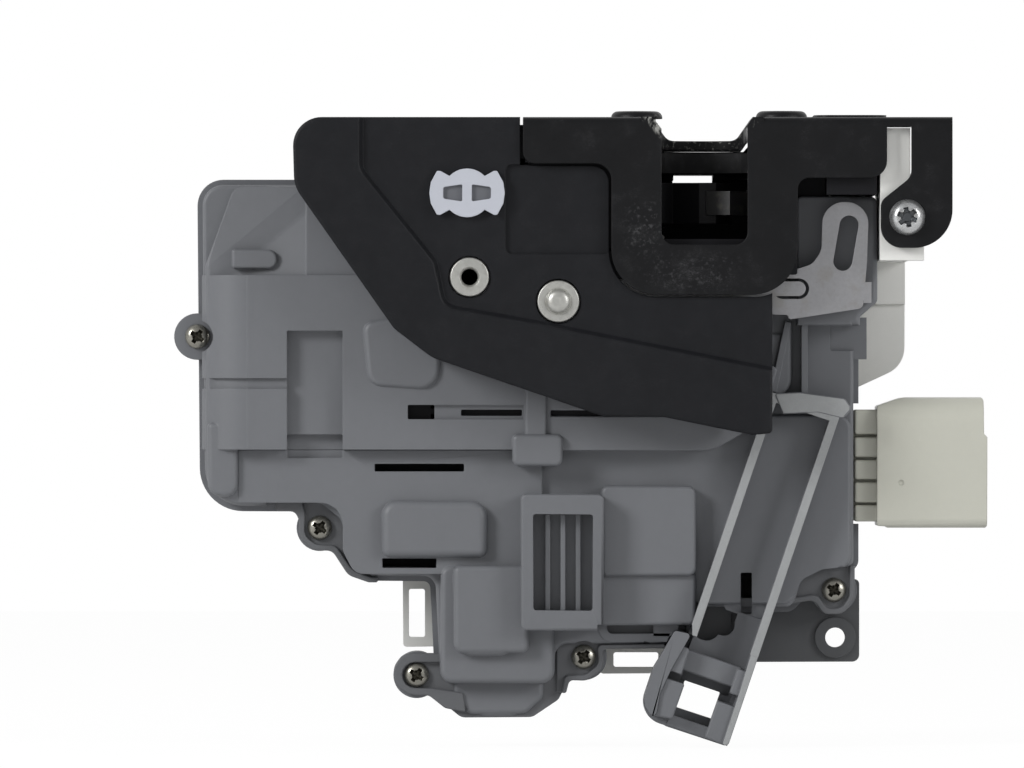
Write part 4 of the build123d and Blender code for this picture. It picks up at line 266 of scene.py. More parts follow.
FINISHES = {
    "grey_moulding": lambda n: moulded(n, (0.165, 0.171, 0.184), rough=0.46),
    # lighter fronts of the guide's rails: partly rubbed wear, partly painted highlight on the faces
    # towards the light
    "rail_moulding": lambda n: moulded(
        n, (0.34, 0.35, 0.355), rough=0.55, grain=0.35, depth=0.03, flow=0.2, scuffed=1.0
    ),
    "ear_moulding": lambda n: moulded(n, (0.125, 0.129, 0.137)),
    "dark_grey_moulding": lambda n: moulded(n, (0.082, 0.085, 0.090)),
    "black_moulding": lambda n: moulded(
        n, (0.0105, 0.011, 0.0132), grain=0.22, depth=0.015, flow=0.3, edge=0.35, scuffed=0.9, gloss=0.2
    ),
    "case_black": lambda n: moulded(
        n, (0.008, 0.008, 0.010), grain=0.2, depth=0.01, flow=0.25, scuffed=0.3, gloss=0.2
    ),
    "clip_white": lambda n: moulded(
        n, (0.52, 0.54, 0.60), rough=0.42, grain=0.15, depth=0.006, flow=0.05
    ),
    # floors of the clip's windows: the grey cover behind the openings, darkened as painted shade
    "clip_window": lambda n: moulded(n, (0.13, 0.135, 0.15), grain=0.15, depth=0.006, flow=0.05),
    # nearly white: partly the rear part's own white, partly painted highlight for the strong light on it
    "back_white": lambda n: moulded(
        n, (0.84, 0.84, 0.81), rough=0.4, grain=0.2, depth=0.008, flow=0.05
    ),
    "connector_cream": lambda n: moulded(
        n, (0.57, 0.57, 0.50), rough=0.34, grain=0.3, depth=0.004, flow=0.06, edge=0.5, scuffed=0.2
    ),
    "cap_plastic": lambda n: moulded(n, (0.46, 0.44, 0.38), rough=0.45),
    "worm_plastic": lambda n: moulded(n, (0.60, 0.58, 0.50), rough=0.35, grain=0.2, depth=0.004),
    "wheel_plastic": lambda n: moulded(n, (0.66, 0.64, 0.56), rough=0.38, grain=0.2, depth=0.004),
    "slider_plastic": lambda n: moulded(n, (0.075, 0.076, 0.08), rough=0.4),
    "switch_black": lambda n: moulded(n, (0.02, 0.02, 0.022), rough=0.45),
    "jacket_black": lambda n: moulded(n, (0.007, 0.007, 0.008), gloss=0.2),
    "black_steel": lambda n: coated_steel(n, (0.0068, 0.007, 0.0080)),
    "backing_steel": lambda n: coated_steel(n, (0.02, 0.02, 0.022)),
    "lever_zinc": lambda n: plated_steel(n, (0.40, 0.40, 0.415), rough=0.46, drawn=0.18),
    "rivet_steel": lambda n: plated_steel(n, (0.56, 0.56, 0.53), rough=0.45, drawn=0.1),
    "screw_steel": lambda n: plated_steel(n, (0.34, 0.33, 0.29), rough=0.3, drawn=0.1),
    # darker plating for the faces inside the driver recesses: painted shade, not the screws' own colour
    "screw_recess": lambda n: plated_steel(n, (0.075, 0.070, 0.055), rough=0.5, drawn=0.1),
    "star_recess": lambda n: plated_steel(n, (0.16, 0.17, 0.18), rough=0.4, drawn=0.1),
    "bright_screw": lambda n: plated_steel(n, (0.66, 0.67, 0.68), rough=0.28, drawn=0.1),
    # far darker than zinc steel, as painted shade: it keeps the core dark inside the shaded mouth
    "core_steel": lambda n: plated_steel(n, (0.11, 0.11, 0.11), rough=0.5),
    "can_steel": lambda n: plated_steel(n, (0.52, 0.52, 0.52), rough=0.3),
    "spring_steel": lambda n: plated_steel(n, (0.28, 0.28, 0.28), rough=0.3),
    "pin_brass": lambda n: plated_steel(
        n, (0.60, 0.45, 0.20), rough=0.3, drawn=0.1, stain=(0.35, 0.24, 0.10)
    ),
    "gasket_rubber": lambda n: soft_rubber(n, (0.015, 0.015, 0.016)),
    "buffer_rubber": lambda n: soft_rubber(n, (0.014, 0.014, 0.015)),
}
MADE = {slot: make(slot) for slot, make in FINISHES.items()}


def dress(obj, slot):
    """Gives an object one finish all over."""
    obj.data.materials.clear()
    obj.data.materials.append(MADE[slot])


def dress_cad_nodes():
    for part in frame["record"]["subparts"]:
        dress(NODES[part["node"]], part["material_slot"])
    for node in ("claw_rivet", "pawl_rivet"):
        dress(NODES[node], "black_steel")


dress_cad_nodes()


# ------------------------------------------------------------------ shaping tools


def alone(obj):
    """Makes one object the only one that is picked."""
    if bpy.context.mode != "OBJECT":
        bpy.ops.object.mode_set(mode="OBJECT")
    bpy.ops.object.select_all(action="DESELECT")
    obj.hide_viewport = False
    obj.select_set(True)
    bpy.context.view_layer.objects.active = obj


def edit(obj):
    alone(obj)
    bpy.ops.object.mode_set(mode="EDIT")


def choose(obj, kind, test):
    """Picks the faces or the points of a mesh in edit mode that pass a test."""
    bpy.ops.mesh.select_mode(type={"faces": "FACE", "verts": "VERT"}[kind])
    bpy.ops.mesh.select_all(action="DESELECT")
    mesh = bmesh.from_edit_mesh(obj.data)
    for item in getattr(mesh, kind):
        item.select_set(test(item))
    mesh.select_flush_mode()
    bmesh.update_edit_mesh(obj.data)


def close(obj):
    if bpy.context.mode != "OBJECT":
        bpy.ops.object.mode_set(mode="OBJECT")
    bpy.ops.object.transform_apply(location=True, rotation=True, scale=True)
    return obj


def finish_with(obj, kind, **settings):
    """Adds one modifier and applies it."""
    alone(obj)
    modifier = obj.modifiers.new(kind.lower(), kind)
    for name, value in settings.items():
        setattr(modifier, name, value)
    bpy.ops.object.modifier_apply(modifier=modifier.name)
    return obj


def smooth(obj, degrees=35):
    alone(obj)
    bpy.ops.object.shade_smooth_by_angle(angle=math.radians(degrees))
    return obj


def turned(name, at, profile, sides=32):
    """A turned piece facing the front. The profile is (radius, depth) from its back to its front."""
    x, z = at
    bpy.ops.object.select_all(action="DESELECT")
    radius, depth = profile[0]
    bpy.ops.mesh.primitive_circle_add(
        vertices=sides,
        radius=radius,
        fill_type="NGON",
        location=(x, depth, z),
        rotation=(math.pi / 2, 0, 0),
    )
    obj = bpy.context.object
    obj.name = name
    close(obj)
    edit(obj)
    bpy.ops.mesh.select_all(action="SELECT")
    for new_radius, new_depth in profile[1:]:
        step = (0, new_depth - depth, 0)
        bpy.ops.mesh.extrude_region_move(TRANSFORM_OT_translate={"value": step})
        share = new_radius / radius
        bpy.ops.transform.resize(value=(share, 1, share), center_override=(x, new_depth, z))
        radius, depth = new_radius, new_depth
    bpy.ops.mesh.select_all(action="SELECT")
    bpy.ops.mesh.normals_make_consistent(inside=False)
    return close(obj)


def bar(name, centre, size, turn=0.0, taper=1.0):
    """A block turned in the front plane, its back face drawn in by a taper."""
    bpy.ops.object.select_all(action="DESELECT")
    bpy.ops.mesh.primitive_cube_add(size=1, location=centre, rotation=(0, turn, 0))
    obj = bpy.context.object
    obj.name = name
    obj.scale = size
    close(obj)
    if taper != 1.0:
        edit(obj)
        choose(obj, "faces", lambda face: face.normal.y > 0.9)
        back = (centre[0], centre[1] + size[1] / 2, centre[2])
        bpy.ops.transform.resize(value=(taper, 1, taper), center_override=back)
        close(obj)
    return obj


def rounded(corners, steps=4):
    """Outline through (x, z, radius) corners in millimetres, with an arc at each radius."""
    points = []
    for i, (x, z, r) in enumerate(corners):
        here = Vector((x, z))
        if r == 0:
            points.append(here)
            continue
        before = (Vector(corners[i - 1][:2]) - here).normalized()
        after = (Vector(corners[(i + 1) % len(corners)][:2]) - here).normalized()
        half = before.angle(after) / 2
        centre = here + (before + after).normalized() * (r / math.sin(half))
        start = here + before * (r / math.tan(half))
        end = here + after * (r / math.tan(half))
        for step in range(steps + 1):
            arm = start.lerp(end, step / steps) - centre
            points.append(centre + arm.normalized() * r)
    return points


def oblong(left, right, foot, top, radius=0.0):
    """Corners of an upright rectangle."""
    return [(left, foot, radius), (right, foot, radius), (right, top, radius), (left, top, radius)]


def slab(name, corners, front, back, tilt=0.0, origin=(0.0, 0.0)):
    """A flat piece with a rounded outline, between two depths in millimetres.

    The outline is drawn in the front plane, then tilted about Y and moved to its origin.
    """
    curve = bpy.data.curves.new(name, "CURVE")
    curve.dimensions = "2D"
    curve.fill_mode = "BOTH"
    curve.extrude = (back - front) / 2 * MM
    line = curve.splines.new("POLY")
    points = rounded(corners)
    line.points.add(len(points) - 1)
    for point, (x, z) in zip(line.points, points):
        point.co = (x * MM, z * MM, 0, 1)
    line.use_cyclic_u = True
    obj = bpy.data.objects.new(name, curve)
    bpy.context.scene.collection.objects.link(obj)
    alone(obj)
    bpy.ops.object.convert(target="MESH")
    obj = bpy.context.object
    obj.rotation_euler = (math.pi / 2, 0, 0)
    close(obj)
    edit(obj)
    bpy.ops.mesh.select_all(action="SELECT")
    bpy.ops.mesh.remove_doubles(threshold=0.0005 * MM)
    bpy.ops.mesh.dissolve_limited(angle_limit=math.radians(0.5))
    bpy.ops.mesh.normals_make_consistent(inside=False)
    close(obj)
    obj.rotation_euler = (0, tilt, 0)
    obj.location = (origin[0] * MM, (front + back) / 2 * MM, origin[1] * MM)
    return close(obj)


def disc(radius, at, front, back, sides=24, **place):
    """A round slab."""
    corners = []
    for step in range(sides):
        angle = 2 * math.pi * step / sides
        corners.append((at[0] + radius * math.cos(angle), at[1] + radius * math.sin(angle), 0))
    return slab("disc", corners, front, back, **place)


def long_piece(name, section, left, right):
    """A slab whose (y, z) section runs along X, from left to right in millimetres."""
    obj = slab(name, section, -right, -left)
    obj.rotation_euler = (0, 0, math.pi / 2)
    return close(obj)


def rounded_edges(obj, width, segments=2, degrees=40):
    """Rounds every sharp edge of a new piece by a width in millimetres."""
    settings = {"limit_method": "ANGLE", "angle_limit": math.radians(degrees)}
    settings.update(width=width * MM, segments=segments, use_clamp_overlap=True)
    finish_with(obj, "BEVEL", **settings)
    return smooth(obj)


def cut(obj, *tools):
    """Takes the tools out of a piece and deletes them."""
    for tool in tools:
        finish_with(obj, "BOOLEAN", operation="DIFFERENCE", object=tool, solver="EXACT")
        bpy.data.objects.remove(tool)
    return obj


def merged(first, *others):
    """Joins meshes that belong to one piece."""
    alone(first)
    for other in others:
        other.select_set(True)
    bpy.ops.object.join()
    return first


def copied(obj, name, offset):
    twin = obj.copy()
    twin.data = obj.data.copy()
    twin.name = name
    bpy.context.scene.collection.objects.link(twin)
    edit(twin)
    bpy.ops.mesh.select_all(action="SELECT")
    bpy.ops.transform.translate(value=offset)
    return close(twin)


def eased_copy(node, name, radius, segments=2):
    """A copy of a CAD node with its facets joined up and its sharp edges rounded."""
    source = NODES[node]
    obj = bpy.data.objects.new(name, source.data.copy())
    bpy.context.scene.collection.objects.link(obj)
    edit(obj)
    bpy.ops.mesh.select_all(action="SELECT")
    bpy.ops.mesh.remove_doubles(threshold=0.002 * MM)
    bpy.ops.mesh.dissolve_limited(angle_limit=math.radians(1.0))
    close(obj)
    return rounded_edges(obj, radius, segments)


def fitted(obj, body, slot, *nodes, finish=None):
    """Evens its shading, takes a finish, rides on a body and stands for CAD nodes."""
    finish_with(obj, "WEIGHTED_NORMAL", mode="FACE_AREA", keep_sharp=True, weight=50)
    dress(obj, finish or slot)
    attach(obj, body)
    if nodes:
        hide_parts(*nodes)
    return obj


def finish_faces(obj, slot, test):
    """Gives the faces of a piece that pass a test another finish."""
    obj.data.materials.append(MADE[slot])
    index = len(obj.data.materials) - 1
    for face in obj.data.polygons:
        if test(face):
            face.material_index = index


# ------------------------------------------------------------------ screws and rivets

COVER_SCREWS = ((-106.6, -45.9), (-80.8, -86.2), (-60.4, -117.2), (-25.2, -113.4), (27.5, -99.3))
SCREW_SEAT = 1.0 * MM  # depth of the seat under a cover screw's head
SCREW_HEAD_R = 2.6 * MM
SCREW_HEAD_T = 1.9 * MM
SCREW_SHANK_R = 1.4 * MM
SCREW_TIP = 13.1 * MM
THREADS = 8


def screw_profile(seat, head_r, head_t, shank_r, tip):
    """Rings of a thread-forming screw from its tip to the top of its domed head."""
    rings = [(shank_r * 0.35, tip), (shank_r * 0.8, tip - 0.8 * MM)]
    pitch = (tip - 0.8 * MM - seat) / THREADS
    for turn in range(THREADS):
        crest = tip - 0.8 * MM - pitch * (turn + 0.35)
        rings.append((shank_r * 0.82, crest + pitch * 0.25))
        rings.append((shank_r, crest))
        rings.append((shank_r * 0.82, crest - pitch * 0.25))
    rings.append((shank_r * 0.95, seat))
    rings.append((head_r * 0.97, seat))
    rings.append((head_r, seat - head_t * 0.2))
    for step in range(1, 6):
        angle = math.radians(15 * step)
        rings.append((head_r * math.cos(angle), seat - head_t * (0.2 + 0.8 * math.sin(angle))))
    return rings


def cross_cutters(at, front, reach, width, depth, turn):
    """Two crossed tapered blades that cut a cross recess."""
    centre = (at[0], front + depth / 2, at[1])
    size = (reach, depth, width)
    return [
        bar("blade", centre, size, turn, 0.55),
        bar("blade", centre, size, turn + math.pi / 2, 0.55),
    ]


def paint_recess_shade(obj, places, reach, depth, slot):
    """Gives the faces of the driver recesses a darker finish, as painted shade for the shade inside the
    recesses.
    """

    def in_recess(face):
        x, y, z = face.center
        near = min(math.hypot(x - at[0], z - at[1]) for at in places)
        return near < reach and depth < y < depth + 2.2 * MM

    finish_faces(obj, slot, in_recess)


def make_cover_screws():
    at = [c * MM for c in COVER_SCREWS[0]]
    profile = screw_profile(SCREW_SEAT, SCREW_HEAD_R, SCREW_HEAD_T, SCREW_SHANK_R, SCREW_TIP)
    first = turned("cover_screw_set", at, profile)
    front = SCREW_SEAT - SCREW_HEAD_T - 0.05 * MM
    cut(first, *cross_cutters(at, front, 3.5 * MM, 1.0 * MM, 1.7 * MM, 0.6))
    cut(first, turned("well", at, [(0.3 * MM, front + 1.8 * MM), (1.15 * MM, front)], 16))
    smooth(first)
    others = []
    for count, (x, z) in enumerate(COVER_SCREWS[1:]):
        offset = (x * MM - at[0], 0, z * MM - at[1])
        others.append(copied(first, f"cover_screw_{count}", offset))
    merged(first, *others)
    fitted(first, "housing", "screw_steel", "cover_screws")
    places = [(x * MM, z * MM) for x, z in COVER_SCREWS]
    # the recess faces are painted darker as painted shade
    paint_recess_shade(first, places, 1.9 * MM, SCREW_SEAT - SCREW_HEAD_T + 0.45 * MM, "screw_recess")


EAR_AT = (42.4 * MM, -21.0 * MM)
EAR_SEAT = -20.0 * MM
EAR_THREADS = 10
EAR_PITCH = 1.2  # in millimetres


def make_ear_screw():
    """Bright screw with a dished rim and a six-point recess with a slot."""
    head_r = 3.75 * MM
    shank_r = 2.0 * MM
    tip = EAR_SEAT + 14 * MM
    rings = [(shank_r * 0.5, tip), (shank_r * 0.85, tip - 1 * MM)]
    for turn in range(EAR_THREADS):
        crest = tip - 1.6 * MM - turn * EAR_PITCH * MM
        rings += [(shank_r * 0.84, crest + 0.3 * MM), (shank_r, crest), (shank_r * 0.84, crest - 0.3 * MM)]
    rings.append((shank_r, EAR_SEAT))
    rings.append((head_r * 0.96, EAR_SEAT))
    rings.append((head_r, EAR_SEAT - 0.35 * MM))
    rings.append((head_r * 0.97, EAR_SEAT - 0.8 * MM))
    rings.append((head_r * 0.84, EAR_SEAT - 1.7 * MM))
    rings.append((head_r * 0.66, EAR_SEAT - 2.25 * MM))
    rings.append((head_r * 0.5, EAR_SEAT - 2.35 * MM))
    obj = turned("ear_screw_head", EAR_AT, rings, 40)
    front = EAR_SEAT - 2.5 * MM
    blades = []
    for count in range(3):
        angle = 0.35 + count * math.pi / 3
        centre = (EAR_AT[0], front + 0.8 * MM, EAR_AT[1])
        blades.append(bar("blade", centre, (4.3 * MM, 1.6 * MM, 1.05 * MM), angle, 0.8))
    cut(obj, *blades)
    cut(obj, turned("well", EAR_AT, [(0.9 * MM, front + 2.0 * MM), (1.45 * MM, front)], 18))
    smooth(obj)
    fitted(obj, "housing", "bright_screw", "ear_screw")
    # the recess faces are painted darker as painted shade
    paint_recess_shade(obj, [EAR_AT], 2.25 * MM, front + 0.4 * MM, "star_recess")


LEVER_PIVOT = (-30.6 * MM, -38.6 * MM)
OUTER_PIVOT = (-49.2 * MM, -33.5 * MM)
SPACER_BACK = -12.7  # back of the spacer part of both rivets, in millimetres
WASHER_FRONT = -19.4


def make_lever_rivet():
    """Riveted pin: flat washer face, a groove, and a hammered dome in the middle."""
    rings = [(2.5, 0.0), (2.5, SPACER_BACK), (4.4, SPACER_BACK)]
    rings += [(4.4, WASHER_FRONT + 0.35), (4.28, WASHER_FRONT + 0.1), (4.1, WASHER_FRONT)]
    rings += [(2.95, WASHER_FRONT), (2.75, WASHER_FRONT + 0.18), (2.6, WASHER_FRONT + 0.1)]
    rings += [(2.5, -19.75), (2.25, -20.2)]
    rings += [(1.8, -20.5), (1.2, -20.7), (0.6, -20.62), (0.25, -20.55)]
    obj = turned("lever_rivet_head", LEVER_PIVOT, [(r * MM, y * MM) for r, y in rings], 40)
    smooth(obj, 50)
    fitted(obj, "housing", "rivet_steel", "lever_rivet")


def make_hollow_rivet():
    """Rolled rivet with a flat washer face and a through bore with a rounded mouth."""
    rings = [(2.9, 0.0), (2.9, SPACER_BACK), (4.1, SPACER_BACK), (4.1, WASHER_FRONT + 0.4)]
    rings += [(4.0, WASHER_FRONT + 0.12), (3.8, WASHER_FRONT), (2.35, WASHER_FRONT)]
    obj = turned("hollow_rivet_head", OUTER_PIVOT, [(r * MM, y * MM) for r, y in rings], 40)
    bore = [(1.7, 1.0), (1.7, -18.7), (1.85, -19.15), (2.15, -19.36), (2.3, -19.6)]
    cut(obj, turned("bore", OUTER_PIVOT, [(r * MM, y * MM) for r, y in bore], 32))
    smooth(obj, 50)
    fitted(obj, "housing", "rivet_steel", "hollow_rivet")


def make_eased_pieces():
    """CAD shapes whose pressed or moulded edges are rounded in the mesh."""
    for node, name, body, slot, radius in (
        ("release_lever", "release_lever_pressing", "inner_lever", "lever_zinc", 0.3),
        ("latch_plate", "latch_plate_pressing", "housing", "black_steel", 0.35),
        ("latch_cover", "shield_moulding", "housing", "black_moulding", 0.6),
    ):
        fitted(eased_copy(node, name, radius, 3), body, slot, node)


# ------------------------------------------------------------------ cover and cable guide

# the cable guide's own frame: its middle line is tilted and passes this far from the origin
TILT = math.radians(18.7)
GUIDE_SHIFT = 39.45
GUIDE = {"tilt": TILT, "origin": (GUIDE_SHIFT * math.cos(TILT), -GUIDE_SHIFT * math.sin(TILT))}
GUIDE_FRONT = -8.0
JAW_FRONT = -7.4


def guide_piece(name, corners, front, back, soft, steps=3):
    """A piece of the guide's end, with soft edges."""
    return rounded_edges(slab(name, corners, front, back, **GUIDE), soft, steps)


def bracket_pieces():
    """End of the cable guide: a floor with a window, a cross bar and four jaws."""
    floor = slab(
        "floor",
        [
            (-11.0, -106.9, 0.6),
            (7.7, -106.9, 0.3),
            (7.7, -123.6, 0.9),
            (-6.0, -123.7, 1.0),
            (-12.4, -121.9, 4.2),
            (-12.4, -112.8, 3.0),
        ],
        -3.6,
        5.0,
        **GUIDE,
    )
    window = [(-5.2, -113.4, 0.3), (2.7, -113.4, 0.3), (2.6, -121.2, 0.3), (-5.4, -121.2, 0.3)]
    dark = [(-6.2, -111.4, 0.3), (4.5, -111.5, 0.3), (4.5, -113.6, 0.2), (-6.2, -113.6, 0.2)]
    right = [(2.4, -112.8, 0.2), (6.2, -112.8, 0.2), (6.2, -115.0, 0.2), (2.4, -115.0, 0.2)]
    left = [(-9.8, -112.5, 0.2), (-5.0, -112.5, 0.2), (-5.0, -114.0, 0.2), (-9.8, -114.0, 0.2)]
    for corners, depth in ((window, 8), (dark, 3.6), (right, 1.5), (left, 0.0)):
        cut(floor, slab("opening", corners, -6, depth, **GUIDE))
    rounded_edges(floor, 0.25)
    wall = guide_piece(
        "wall",
        [
            (-10.6, -104.0, 0.6),
            (-7.2, -103.6, 0.6),
            (-8.8, -112.0, 3.0),
            (-9.4, -117.5, 2.0),
            (-8.6, -122.6, 0.8),
            (-12.3, -121.8, 4.0),
            (-12.4, -112.8, 3.0),
        ],
        GUIDE_FRONT,
        1.0,
        0.9,
        4,
    )
    rail = [(6.0, -103.6, 0), (7.7, -103.6, 0), (7.7, -123.4, 0.8), (6.4, -123.5, 0.5), (6.3, -112.0, 0.5)]
    rail = guide_piece("rail", rail, GUIDE_FRONT, 1.0, 0.5)
    bar_low = [(-6.0, -121.0, 0.2), (3.0, -121.0, 0.2), (3.0, -123.5, 0.3), (-6.0, -123.4, 0.3)]
    bar_low = guide_piece("bar_low", bar_low, -4.0, -3.0, 0.3, 2)
    cross = [(-7.6, -106.9, 0.4), (5.4, -106.9, 0.4), (5.4, -111.4, 0.4), (-7.6, -111.3, 0.4)]
    cross = guide_piece("cross", cross, -4.6, 3.0, 0.45)
    jaws = []
    for corners in (
        [(-9.9, -106.6, 0.6), (-6.5, -106.6, 0.5), (-6.4, -112.3, 0.4), (-10.0, -112.3, 0.3)],
        [(-10.2, -114.0, 0.4), (-5.1, -114.0, 0.4), (-5.2, -121.8, 0.5), (-10.2, -122.4, 0.6)],
        [(4.4, -107.3, 0.4), (7.5, -107.3, 0.4), (7.6, -112.8, 0.4), (4.4, -112.8, 0.6)],
        [(2.5, -115.1, 0.4), (7.5, -115.1, 0.4), (7.5, -123.5, 0.9), (2.5, -123.3, 0.6)],
    ):
        jaws.append(guide_piece("jaw", corners, JAW_FRONT, -3.0, 0.45))
    return [floor, wall, rail, bar_low, cross, *jaws]


def web_piece():
    """Web between the rails, with two scallops where it leaves the housing."""
    web = slab("web", oblong(-6.6, 6.6, -107.2, -96.0), -0.9, 1.0, **GUIDE)
    cut(web, disc(3.1, (-4.6, -101.0), -3, 3, **GUIDE), disc(2.3, (-1.2, -99.6), -3, 3, **GUIDE))
    corner = [(-7, -95, 0), (0.8, -95, 0), (0.8, -99, 0), (-7, -102.5, 0)]
    return cut(web, slab("corner", corner, -3, 3, **GUIDE))


PLATEAU = -7.1  # front level of the field over the two drives
# raised fields of the cover: outline, front level and softening of the edge
FIELDS = (
    # upper field
    ([(-83.7, -13.0, 0.5), (-60.0, -13.0, 0.5), (-60.0, -33.6, 0.3), (-83.7, -33.5, 0.3)], -6.5, 0.3),
    # plateau over the drives, up to the crest of the motor's bulge
    (
        [
            (-96.0, -33.0, 0),
            (-72.6, -33.0, 0.8),
            (-62.0, -40.0, 2.0),
            (-35.0, -40.0, 1.0),
            (-35.0, -69.7, 1.2),
            (-96.0, -69.7, 0),
        ],
        PLATEAU,
        0.7,
    ),
    # strip at the foot of the bulge, and the nub on the sloped corner
    ([(-104.4, -64.0, 1.0), (-97.9, -64.0, 1.0), (-98.0, -80.2, 2.5), (-104.3, -79.0, 2.6)], -5.2, 1.6),
    ([(-99.2, -27.6, 0.6), (-89.6, -27.7, 1.8), (-89.7, -31.7, 1.8), (-99.2, -31.6, 0.6)], -5.9, 1.0),
    # under the edge of the shield, and the rest of the plateau up to the cable guide
    ([(-40.0, -45.0, 0), (17.0, -45.0, 0), (14.4, -56.6, 2.0), (-40.0, -57.1, 0)], -5.4, 0.9),
    (
        [
            (-36.0, -52.0, 1.0),
            (15.6, -52.1, 1.0),
            (12.0, -64.0, 2.5),
            (2.0, -69.8, 9.0),
            (-36.0, -69.9, 0.5),
        ],
        PLATEAU,
        0.7,
    ),
    # upright rib with the block at its foot, and the pad beside the shield
    ([(-37.6, -50.0, 0.6), (-32.9, -50.0, 0.6), (-33.0, -69.0, 0.6), (-37.5, -69.1, 0.6)], -8.1, 0.6),
    ([(-40.3, -66.4, 1.2), (-29.6, -66.5, 1.2), (-29.7, -73.2, 1.4), (-40.2, -73.1, 1.4)], -8.8, 0.9),
    ([(-71.8, -43.0, 2.2), (-54.6, -40.0, 2.2), (-55.6, -57.2, 4.0), (-70.6, -56.2, 3.2)], -8.2, 1.2),
    # lower field with the hood of the level motor
    (
        [
            (-97.9, -69.8, 0.3),
            (-34.0, -69.8, 1.0),
            (-34.0, -95.9, 2.0),
            (-73.4, -95.9, 3.2),
            (-75.9, -91.0, 3.0),
            (-75.9, -80.9, 4.6),
            (-97.9, -80.9, 0.3),
        ],
        -3.6,
        0.9,
    ),
    ([(-67.8, -80.4, 3.0), (-45.4, -80.5, 3.4), (-45.6, -92.3, 1.6), (-67.6, -92.3, 1.6)], -6.2, 2.2),
    # three steps of the foot
    ([(-55.3, -94.0, 2.0), (-31.4, -94.1, 2.0), (-31.4, -118.9, 2.5), (-55.4, -118.8, 2.5)], -4.2, 1.2),
    ([(-52.6, -94.1, 1.2), (-36.8, -94.1, 1.2), (-36.8, -112.4, 1.4), (-52.5, -112.5, 2.0)], -7.2, 1.1),
    (
        [
            (-52.6, -110.0, 1.0),
            (-33.6, -110.1, 1.0),
            (-33.7, -122.0, 2.0),
            (-37.4, -125.4, 2.5),
            (-49.4, -125.5, 2.5),
            (-52.6, -121.9, 2.0),
        ],
        0.3,
        1.4,
    ),
    # low and high pad beside the window
    ([(-22.0, -95.5, 1.0), (-1.6, -95.6, 1.0), (-1.7, -106.6, 1.4), (-22.1, -106.7, 1.4)], -4.4, 0.8),
    ([(-21.5, -77.3, 1.4), (-1.7, -77.4, 1.6), (-1.6, -96.2, 1.5), (-21.4, -96.3, 1.0)], -6.0, 0.8),
)
# pockets with a floor: left, right, foot, top and floor
POCKETS = (
    (-87.6, -75.9, -66.5, -44.7, -4.6),
    (-87.6, -75.9, -71.4, -66.5, -2.6),
    (-62.2, -37.8, -63.3, -60.3, PLATEAU + 0.9),
    (-32.2, -8.0, -62.7, -61.4, PLATEAU + 1.5),
    (-62.2, -56.6, -63.3, -60.3, PLATEAU + 3.7),
    (-51.0, -38.2, -62.6, -61.3, PLATEAU + 3.0),
)
# slots that go through the CAD cover too, and the groove across the bulge
SLOTS = (
    (-69.2, -50.4, -74.3, -72.7, 1.0),
    (-67.6, -56.1, -94.6, -92.6, 1.0),
)
GROOVE = (-102.9, -87.6, -56.9, -54.7, PLATEAU + 1.0)
NUB_CORNER = [
    (-104.2, -32.4, 0),
    (-83.7, -15.9, 0),
    (-83.5, -15.9, 0),
    (-83.5, -33.4, 0),
    (-104.2, -33.4, 0),
]
GUIDE_TOP = [
    (14.8, -57.9, 0.4),
    (20.0, -57.6, 1.5),
    (29.6, -58.9, 1.2),
    (31.2, -61.2, 0.8),
    (29.4, -63.2, 1.2),
    (24.0, -61.9, 1.5),
    (16.6, -62.2, 0.4),
]
# where the cover draws back round two of its screws
EAR_CLEAR_2 = [
    (-92, -80.9, 0),
    (-80.6, -80.9, 3.6),
    (-75.9, -84.6, 3.6),
    (-75.9, -89.0, 2.0),
    (-74.2, -94.2, 0),
    (-76, -98, 0),
    (-92, -98, 0),
]
EAR_CLEAR_5 = [
    (31.9, -94.2, 0),
    (25.0, -94.9, 3.0),
    (20.4, -97.2, 3.0),
    (19.0, -102.4, 2.0),
    (17.6, -104.4, 0),
    (17.6, -108, 0),
    (34, -108, 0),
    (34, -94.2, 0),
]


def box_cut(left, right, foot, top, floor, front=-12.0):
    """A cutter with slightly rounded corners, in front of a floor."""
    return slab("pocket", oblong(left, right, foot, top, 0.25), front, floor)


def overlaps(piece, pocket):
    """Whether a pocket reaches into a piece's outline."""
    left, right, foot, top = (c * MM for c in pocket[:4])
    xs = [v.co.x for v in piece.data.vertices]
    zs = [v.co.z for v in piece.data.vertices]
    return min(xs) < right and max(xs) > left and min(zs) < top and max(zs) > foot


def corner_facet():
    """Sloped corner that climbs from the low field at the upper left."""
    high, low = -6.4, -2.7
    facet = slab("facet", NUB_CORNER, high, -2.0)
    edit(facet)
    choose(facet, "verts", lambda v: v.co.y < -6 * MM and (v.co.x < -100 * MM or v.co.z > -20 * MM))
    bpy.ops.transform.translate(value=(0, (low - high) * MM, 0))
    return close(facet)


def cover_fields():
    """The raised fields, each with its pockets cut before its edge is softened."""
    pieces = []
    for corners, level, soft in FIELDS:
        field = slab("field", corners, level, max(level + 3.5, 0.8))
        for pocket in (*POCKETS, *SLOTS, GROOVE):
            if overlaps(field, pocket):
                cut(field, box_cut(*pocket))
        pieces.append(rounded_edges(field, soft, 4))
    pieces.append(rounded_edges(corner_facet(), 0.2))
    return pieces


def guide_side(x, z):
    """How far to the right of the cable guide's middle line a point lies, in millimetres."""
    return x * math.cos(TILT) - z * math.sin(TILT) - GUIDE_SHIFT


def on_rail(face):
    """Whether a face is the front of one of the guide's rails, which is painted lighter: partly rubbed
    wear, partly painted highlight.
    """
    x, y, z = (c / MM for c in face.center)
    return face.normal.y < -0.8 and y < -7.7 and abs(guide_side(x, z)) < 8.5 and z < -57


